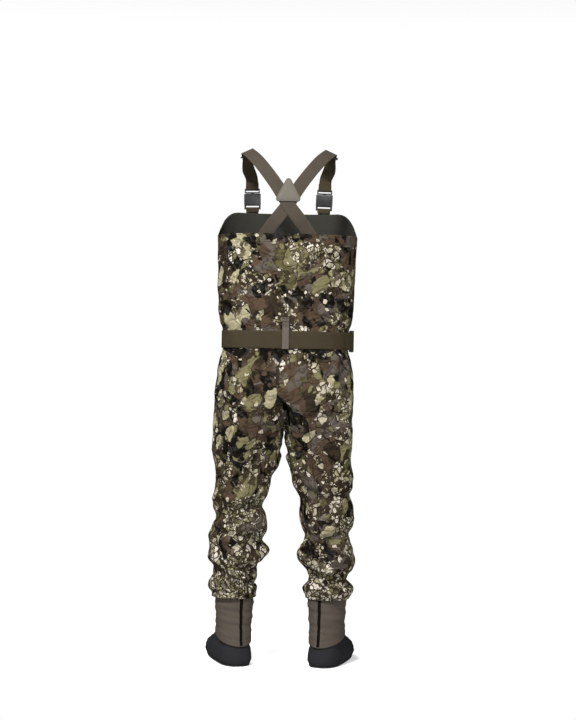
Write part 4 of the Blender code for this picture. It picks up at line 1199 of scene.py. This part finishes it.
def make_belt():
    """The belt in three pieces: round the back to the socket, the strand on the plug, and the free end."""
    place = belt_place()
    forward, out = Vector((0, -1, 0)), Vector((-1, 0, 0))
    radius = BAR_CLEAR + BELT_THICK / 2
    bar, upward = socket_bar(place), (0, 0, 1)
    fine = 180 / 96
    route = [hoop(n * fine) for n in range(-72, 85)] + [(bar - forward * 0.006 + out * radius, out)]
    route += turn_round(bar, forward, out, radius, 0.007)
    belt = ribbon("wading_belt", route, BELT_WIDTH, BELT_THICK, WEBBING, upward)
    riding(belt, "garment", "belt_webbing", "belt_webbing")

    bar, outer = plug_bar(place), BELT_OUT + BELT_THICK + 0.0010
    bends = [-136.5 - 1.5 * n for n in range(15)]
    route = [hoop(d) for d in bends] + [(bar + forward * 0.006 - out * radius, out)]
    route += turn_round(bar, -forward, -out, radius, 0.008)
    route += [hoop(d, outer + 0.0008 * (d < -150)) for d in reversed(bends)]
    front = ribbon("belt_front_strand", route, BELT_WIDTH, BELT_THICK, WEBBING, upward)
    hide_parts("belt_plug_webbing")
    start, end = hoop(-138)[0] + HOME, bar + forward * 0.012 + HOME
    tuple(start)
    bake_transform(front)

    route = [hoop(n * fine, outer) for n in range(-72, -41)]
    tail = ribbon("belt_free_end", route, BELT_WIDTH, BELT_THICK, WEBBING, upward)
    riding(tail, "garment", "belt_webbing", "belt_tail")


def make_belt_loop(name, degrees):
    """A loop sewn to the shell above the belt and standing off it over the belt, with two bar tacks."""
    angle = math.radians(degrees)
    outward = Vector((math.cos(angle), math.sin(angle), 0))
    across = Vector((-math.sin(angle), math.cos(angle), 0))
    sewn = ((1.012, 0.0026), (0.996, 0.0026), (0.984, 0.0034))
    free = ((0.975, 0.0062), (0.948, 0.0062), (0.9215, 0.0062))
    stops = [(trunk_point(angle, height, lift) - HOME, outward) for height, lift in sewn + free]
    loop = ribbon(name + "_cloth", smooth_route(stops), 0.020, 0.0016, LOOP, across)
    riding(loop, "garment", "loop_cloth", name)
    for row, height in enumerate((1.0085, 1.0000)):
        at = trunk_point(angle, height, 0.0036) - HOME
        path = [(at + across * u, outward) for u in (-0.0085, 0.0085)]
        tack = stitch_line(f"{name}_bartack_{row}", path, 0.0013, 0.0030, 0.0004)
        riding(tack, "garment", "loop_cloth")


for side, name in SIDES:
    make_back_strap(side, name)
    make_front_webbing(side, name)
    make_chest_tab(side, name)
make_yoke()
make_belt()
for name, degrees in (("belt_loop_back", 90), ("belt_loop_left", -45)):
    make_belt_loop(name, degrees)


# ---------------------------------------------------------------- feet and gravel guards
# Height, half width, and reach behind and in front of the ankle. The guard's first number is its share of
# the way down.
FOOT = (
    (0.0045, 0.044, 0.068, 0.196),
    (0.0150, 0.048, 0.071, 0.204),
    (0.0300, 0.049, 0.071, 0.203),
    (0.0450, 0.047, 0.068, 0.188),
    (0.0600, 0.043, 0.063, 0.155),
    (0.0750, 0.041, 0.060, 0.115),
    (0.0920, 0.040, 0.057, 0.080),
    (0.1150, 0.041, 0.054, 0.060),
    (0.1500, 0.045, 0.054, 0.056),
    (0.2000, 0.048, 0.055, 0.057),
    (0.2350, 0.050, 0.057, 0.058),
)
GUARD_SHAPE = (
    (0.00, 0.0590, 0.064, 0.064),
    (0.25, 0.0560, 0.062, 0.064),
    (0.50, 0.0530, 0.062, 0.068),
    (0.75, 0.0500, 0.064, 0.077),
    (1.00, 0.0490, 0.069, 0.090),
)
FOOT_SQUARENESS, FOOT_ROUND, BOOTIE_ROWS, GUARD_ROUND, GUARD_ROWS = 2.4, 72, 46, 96, 60
GUARD_TOP_Z, GUARD_BACK_Z, GUARD_FRONT_Z = 0.224, 0.058, 0.097
ANKLE, FOOT_SPLAY = Vector((0.136, 0.018)), math.radians(20)


def foot_place(side):
    toward = Vector((side * math.sin(FOOT_SPLAY), -math.cos(FOOT_SPLAY), 0))
    return frame_at((side * ANKLE.x, ANKLE.y, 0), toward, (0, 0, 1))


def oval(angle, half_width, back, front, squareness):
    """A point of a foot's outline: its X reaches front before the ankle and back behind it."""
    return superellipse(angle, front if math.cos(angle) > 0 else back, half_width, squareness)


def loft(rings):
    """Points, faces and corner UVs of a stack of closed rings, top ring first, each anticlockwise."""
    top, count = rings[0], len(rings[0])
    steps = [(top[(k + 1) % count] - top[k]).length for k in range(count)]
    around = np.concatenate([[0], np.cumsum(steps)])
    faces, flat = [], []
    for r in range(len(rings) - 1):
        v = rings[r][0].z, rings[r + 1][0].z
        for k in range(count):
            m = (k + 1) % count
            faces.append((r * count + k, (r + 1) * count + k, (r + 1) * count + m, r * count + m))
            flat += [(around[k], v[0]), (around[k], v[1]), (around[k + 1], v[1]), (around[k + 1], v[0])]
    return [p for ring in rings for p in ring], faces, flat


def grid_faces(rows, columns):
    """The faces of an open grid of points, row by row from the top."""
    corners = (r * (columns + 1) + c for r in range(rows) for c in range(columns))
    return [(a, a + columns + 1, a + columns + 2, a + 1) for a in corners]


def dressed(place, points):
    """Points of a foot's own frame, in the part's frame."""
    return [place @ Vector(p) + HOME for p in points]


def make_bootie(side, name):
    """The bootie's upper, soft and a little uneven, with a welt and two rows of stitches at the sole."""
    place = foot_place(side)
    angles = round_angles(FOOT_ROUND)
    top, bottom = FOOT[-1][0], FOOT[0][0]
    rings = []
    for n in range(BOOTIE_ROWS + 1):
        height = top + (bottom - top) * n / BOOTIE_ROWS
        width, back, front = between(FOOT, height)
        ring = []
        for angle in angles:
            x, y = oval(angle, width, back, front, FOOT_SQUARENESS)
            ripple = math.sin(height * 420 + 2 * math.cos(angle))
            crease = 0.0011 * math.exp(-(((height - 0.088) / 0.030) ** 2)) * ripple
            welt = 0.0012 * math.exp(-(((height - 0.0190) / 0.0024) ** 2))
            seam = 0.0010 * math.exp(-((y / 0.0035) ** 2)) if height > 0.02 else 0.0
            spot = noise.noise(Vector((x * 22, y * 22 + 9 * side, height * 22)))
            grow = 1 + (crease + welt + seam + 0.0008 * spot) / 0.05
            ring.append(Vector((x * grow, y * grow, height)))
        rings.append(ring)
    points, faces, flat = loft(rings)
    upper = make_piece(name + "_bootie", dressed(place, points), faces, [NEOPRENE], flat, smooth=80)
    thicken(upper, 0.004)
    riding(upper, "garment", "bootie_neoprene", name + "_bootie_upper")
    for row, height in enumerate((0.0150, 0.0232)):
        width, back, front = between(FOOT, height)
        path = []
        for angle in (*angles, angles[0]):
            x, y = oval(angle, width + 0.0002, back + 0.0002, front + 0.0002, FOOT_SQUARENESS)
            out = place.to_3x3() @ Vector((x, y * 2, 0)).normalized()
            path.append((place @ Vector((x, y, height)), out))
        stitches = stitch_line(f"{name}_bootie_stitching_{row}", path, 0.0045, 0.0030)
        riding(stitches, "garment", "bootie_neoprene")


def make_sole(side, name):
    """The sole pad: a flat plate with rounded edges."""
    angles = round_angles(FOOT_ROUND)
    _, width, back, front = FOOT[0]
    levels = ((0.0000, 0.94), (0.0006, 0.985), (0.0020, 1.0), (0.0034, 0.985), (0.0042, 0.95))
    outline = [Vector(oval(a, width, back, front, FOOT_SQUARENESS)) for a in angles]
    rings = [[Vector((p.x * scale, p.y * scale, z)) for p in outline] for z, scale in reversed(levels)]
    points, faces, flat = loft(rings)
    count = len(angles)
    faces.append(tuple(range(count)))
    faces.append(tuple(reversed(range(len(points) - count, len(points)))))
    flat += [(points[i].x, points[i].y) for i in (*faces[-2], *faces[-1])]
    placed = dressed(foot_place(side), points)
    sole = make_piece(name + "_sole_pad", placed, faces, [SOLE], flat, smooth=60)
    riding(sole, "garment", "sole_neoprene", name + "_bootie_sole")


def guard_point(share, angle, side=0):
    """A point of the guard: a soft tube that bunches a little above the ankle, with a thicker turned hem."""
    width, back, front = between(GUARD_SHAPE, share)
    low = GUARD_BACK_Z + (GUARD_FRONT_Z - GUARD_BACK_Z) * (1 + math.cos(angle)) / 2
    x, y = oval(angle, width, back, front, 2.0)
    height = GUARD_TOP_Z + (low - GUARD_TOP_Z) * share
    out = 0.0
    if side:
        slouch = math.sin(height * 150 + 1.3 * math.sin(angle + side) + side)
        slouch += 0.6 * math.sin(height * 310 + 2 * angle)
        out += 0.0011 * slouch * smoothstep((0.95 - share) / 0.2) * smoothstep(share / 0.2)
        out += 0.0007 * math.sin(3 * angle + side) * smoothstep(share * 2)
        out += 0.0007 * smoothstep((share - 0.905) / 0.01)
        out -= 0.0012 * math.exp(-(((share - 0.900) / 0.012) ** 2))
    grow = 1 + out / 0.058
    return Vector((x * grow, y * grow, height))


def make_guard(side, name):
    """The guard with its turned hem's stitches, and the tape down its back."""
    place = foot_place(side)
    angles = round_angles(GUARD_ROUND)
    rings = [[guard_point(n / GUARD_ROWS, a, side) for a in angles] for n in range(GUARD_ROWS + 1)]
    points, faces, flat = loft(rings)
    guard = make_piece(name + "_guard", dressed(place, points), faces, [GUARD], flat, smooth=80)
    thicken(guard, 0.0026)
    riding(guard, "garment", "guard_cloth", name + "_gravel_guard")
    path = []
    for angle in (*angles, angles[0]):
        spot = guard_point(0.93, angle, side)
        path.append((place @ spot, place.to_3x3() @ Vector((spot.x, spot.y, 0)).normalized()))
    riding(stitch_line(name + "_guard_stitching", path, 0.0040, 0.0026), "garment", "guard_cloth")

    start = math.pi + side * math.radians(2) - math.radians(5)
    grid, count, rows = [], 6, GUARD_ROWS
    for r in range(rows + 1):
        for c in range(count + 1):
            angle = start + math.radians(10) * c / count
            spot = guard_point(0.02 + 0.96 * r / rows, angle, side)
            out = Vector((spot.x, spot.y, 0)).normalized()
            edge = 0.0002 if c in (0, count) else 0.0010
            grid.append(spot + out * edge)
    faces = grid_faces(rows, count)
    flat = [(i % (count + 1) * 0.0018, grid[i].z) for face in faces for i in face]
    stripe = make_piece(name + "_guard_tape", dressed(place, grid), faces, [TAPE], flat, smooth=60)
    thicken(stripe, 0.0010)
    riding(stripe, "garment", "stripe_tape", name + "_guard_stripe")


def tube(name, path, radius, paint, closed=False):
    """Round wire along a path, with its corners eased."""
    curve = bpy.data.curves.new(name, "CURVE")
    curve.dimensions = "3D"
    curve.bevel_depth = radius
    curve.bevel_resolution = 3
    curve.resolution_u = 6
    curve.use_fill_caps = not closed
    line = curve.splines.new("BEZIER")
    line.bezier_points.add(len(path) - 1)
    for point, spot in zip(line.bezier_points, path):
        point.co = Vector(spot) + HOME
        point.handle_left_type = point.handle_right_type = "AUTO"
    line.use_cyclic_u = closed
    curve.materials.append(paint)
    made = bpy.data.objects.new(name, curve)
    scene.collection.objects.link(made)
    mesh = bpy.data.meshes.new_from_object(made.evaluated_get(bpy.context.evaluated_depsgraph_get()))
    bpy.data.objects.remove(made)
    piece = bpy.data.objects.new(name, mesh)
    scene.collection.objects.link(piece)
    return piece


def corner_path(path, ease):
    """The path with two points close to each corner in place of it, so that a smooth curve turns there."""
    eased = [Vector(path[0])]
    for before, corner, after in zip(path, path[1:], path[2:]):
        before, corner, after = Vector(before), Vector(corner), Vector(after)
        eased.append(corner + (before - corner).normalized() * min(ease, (before - corner).length * 0.45))
        eased.append(corner + (after - corner).normalized() * min(ease, (after - corner).length * 0.45))
    return [*eased, Vector(path[-1])]


def folded_tab(name, bar, wire, outward, across, size):
    """Webbing that comes down in front of a wire bar, turns under it, and goes back up against the wall."""
    width, thickness, length = size
    bar, outward = Vector(bar), Vector(outward).normalized()
    down = Vector((0, 0, -1))
    radius = wire + 0.0004 + thickness / 2
    front = bar + outward * radius
    route = smooth_route([(front - down * length, outward), (front - down * 0.002, outward)])
    route += turn_round(bar, down, outward, radius, length - 0.004)
    return ribbon(name, route, width, thickness, WEBBING, across)


def make_lace_hook(side, name):
    """The wire hook at the guard's front hem, which catches a boot's lace, and its tab."""
    place = foot_place(side)
    low = guard_point(1.0, 0.0)
    bar = Matrix.Translation((low.x + 0.0040, 0, low.z + 0.0135))
    hinge = place @ bar @ Matrix.Rotation(math.pi / 2, 4, "Y")
    half, drop, wire = 0.0045, 0.0150, 0.0011
    path = [(0.0, -half, 0.0), (0.0, 0.0029, 0.0), (0.0, half, 0.0), (drop, half, 0.0)]
    path += [(drop + 0.0026, 0.0022, -0.0010), (drop + 0.0028, 0.0, -0.0048), (drop - 0.0006, 0.0, -0.0062)]
    hook = tube(name + "_hook_wire", [hinge @ p for p in corner_path(path, 0.0012)], wire, STEEL)
    riding(hook, name + "_lace_hook", "steel", name + "_lace_hook")
    outward, across, _ = place.to_3x3().transposed()
    size = (0.0055, 0.0008, 0.022)
    tab = folded_tab(name + "_hook_strap", hinge.translation, wire, outward, across, size)
    riding(tab, "garment", "belt_webbing", name + "_hook_tab")


for side, name in SIDES:
    make_bootie(side, name)
    make_sole(side, name)
    make_guard(side, name)
    make_lace_hook(side, name)


# ---------------------------------------------------------------- chest pocket, zip and tool ring
POCKET_LOW, POCKET_HIGH, ZIP_LOW, ZIP_HIGH = 1.060, 1.285, 1.085, 1.262


def chest_y(x, height):
    """The bib's front surface, before its folds."""
    half_x, half_y = between(TRUNK, height)
    return -half_y * (1 - (abs(x) / half_x) ** SQUARENESS) ** (1 / SQUARENESS)


def make_pocket():
    """A stitched patch with a soft crown, and a zip down its middle."""
    half, columns, rows = 0.088, 48, 60
    points, flat_of, edge_of = [], [], []
    for r in range(rows + 1):
        height = POCKET_HIGH + (POCKET_LOW - POCKET_HIGH) * r / rows
        for c in range(columns + 1):
            x = -half + 2 * half * c / columns
            side, rim = half - abs(x), min(POCKET_HIGH - height, height - POCKET_LOW)
            near = min(side, rim)
            crown = 0.0024 * smoothstep(near / 0.030) * smoothstep((abs(x) - 0.012) / 0.02)
            ripple = 0.0007 * math.sin(height * 120 + x * 40) * smoothstep(near / 0.02)
            ripple *= smoothstep((abs(x) - 0.014) / 0.02)
            lift = 0.0024 + crown + ripple - 0.0006 * math.exp(-(((near - 0.004) / 0.0015) ** 2))
            points.append(Vector((x, chest_y(x, height) - lift, height)) + HOME)
            flat_of.append((x + 8.3, height))
            edge_of.append((side, rim))
    faces = grid_faces(rows, columns)
    flat = [flat_of[i] for face in faces for i in face]
    edges = [edge_of[i] for face in faces for i in face]
    pocket = make_piece("chest_pocket_cloth", points, faces, [PRINT, LINING], flat, edges, smooth=80)
    thicken(pocket, 0.0012, inner=1)
    riding(pocket, "garment", "camouflage_laminate", "chest_pocket_panel")


def make_zip():
    """The zip's tape, and its teeth: wedges that point from side to side in turn."""
    face_y = min(chest_y(0, ZIP_LOW), chest_y(0, ZIP_HIGH)) - 0.0030
    route = smooth_route([((0, face_y - 0.0004, height), (0, -1, 0)) for height in (ZIP_LOW, ZIP_HIGH)])
    tape = ribbon("zip_backing", route, 0.028, 0.0008, TAPE, (1, 0, 0))
    riding(tape, "garment", "stripe_tape", "zip_tape")
    points, faces = [], []
    pitch, coil_y = 0.0016, face_y - 0.0011
    low_edge = ((-0.0004, 0.0, 0.0005), (0.0030, 0.0, 0.0006))
    high_edge = ((0.0030, 0.0009, 0.0005), (-0.0004, 0.0012, 0.0004))
    for n in range(int((ZIP_HIGH - ZIP_LOW - 0.004) / pitch)):
        side = 1 if n % 2 else -1
        base, z = len(points), ZIP_LOW + 0.003 + n * pitch
        for x, y, dz in low_edge + high_edge:
            for end in (-1, 1):
                points.append(Vector((side * x, coil_y - y, z + end * dz)) + HOME)
        quads = ((0, 1, 3, 2), (2, 3, 5, 4), (4, 5, 7, 6), (6, 7, 1, 0), (0, 2, 4, 6), (1, 7, 5, 3))
        for quad in quads:
            corners = tuple(base + i for i in quad)
            faces.append(tuple(reversed(corners)) if side > 0 else corners)
    teeth = make_piece("zip_teeth", points, faces, [PLASTIC], smooth=30)
    riding(teeth, "garment", "stripe_tape", "zip_coil")


def make_tool_ring():
    """A D-shaped ring that hangs from a tab on the bib."""
    x, height, wire = -0.128, 1.222, 0.0015
    outward = Vector((-0.42, -0.91, 0)).normalized()
    bar = Vector((x, chest_y(x, height), height)) + outward * 0.0070
    across = Vector((0, 0, 1)).cross(outward).normalized()
    tab = folded_tab("tool_ring_tab", bar, wire, outward, across, (0.018, WEB_THICK, 0.036))
    riding(tab, "garment", "belt_webbing", "d_ring_tab")
    half, drop = 0.0130, 0.020
    path = [bar + across * reach for reach in (-0.0112, -0.0100, -0.0085, 0.0085, 0.0100, 0.0112)]
    for n in range(13):
        turn = math.pi * n / 12
        path.append(bar + across * half * math.cos(turn) - Vector((0, 0, 0.004 + drop * math.sin(turn))))
    riding(tube("tool_d_ring", path, wire, STEEL, closed=True), "tool_ring", "steel", "d_ring")


make_pocket()
make_zip()
make_tool_ring()


# ---------------------------------------------------------------- hardware, rounded from its CAD solids
def rounded_copy(node, body, slot, paint, width):
    """A copy of a CAD solid with its edges rounded over."""
    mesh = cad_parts[node].data.copy()
    mesh.materials.clear()
    mesh.materials.append(paint)
    made = bpy.data.objects.new(node + "_moulding", mesh)
    scene.collection.objects.link(made)
    weld = made.modifiers.new("weld", "WELD")
    weld.merge_threshold = 0.00002
    step = made.modifiers.new("edges", "BEVEL")
    step.width = width
    step.segments = 3
    step.limit_method = "ANGLE"
    step.angle_limit = math.radians(28)
    step.use_clamp_overlap = True
    apply_modifiers(made)
    made.data.shade_smooth()
    made.data.set_sharp_from_angle(angle=math.radians(42))
    riding(made, body, slot, node)


for prefix in ("belt", "left_front", "right_front"):
    rounded_copy(prefix + "_buckle_socket", "garment", "buckle_plastic", PLASTIC, 0.0007)
    rounded_copy(prefix + "_buckle_plug", prefix + "_plug", "buckle_plastic", PLASTIC, 0.0005)
    for arm in ("a", "b"):
        rounded_copy(f"{prefix}_buckle_arm_{arm}", f"{prefix}_arm_{arm}", "buckle_plastic", PLASTIC, 0.0004)
for name in ("left_ladder_lock", "right_ladder_lock"):
    rounded_copy(name, name, "buckle_plastic", PLASTIC, 0.0006)
rounded_copy("belt_keeper", "belt_keeper", "buckle_plastic", PLASTIC, 0.0004)
rounded_copy("zip_slider", "zip_slider", "steel", STEEL, 0.0003)
rounded_copy("zip_pull", "zip_pull", "steel", STEEL, 0.0002)


# ---------------------------------------------------------------- floor, and the end
# The floor glows more with distance from the feet, so it meets the white background with no line.
pale = Paint("pale_floor", 0.9)
away = pale.node("VectorMath", {0: pale.place()}, operation="LENGTH").outputs["Value"]
reach = {"Value": away, "From Min": 0.2, "From Max": 1.0, "To Min": 0.4, "To Max": 1.0}
glow = pale.node("MapRange", reach).outputs[0]
pale.shader.inputs["Emission Color"].default_value = (1, 1, 1, 1)
PALE_FLOOR = pale.finish(pale.mix(glow, (0.95, 0.95, 0.95), (0, 0, 0)), Emission_Strength=glow)
corners = [(-9, -9, 0), (9, -9, 0), (9, 9, 0), (-9, 9, 0)]
make_piece("floor", corners, [(0, 1, 2, 3)], [PALE_FLOOR])
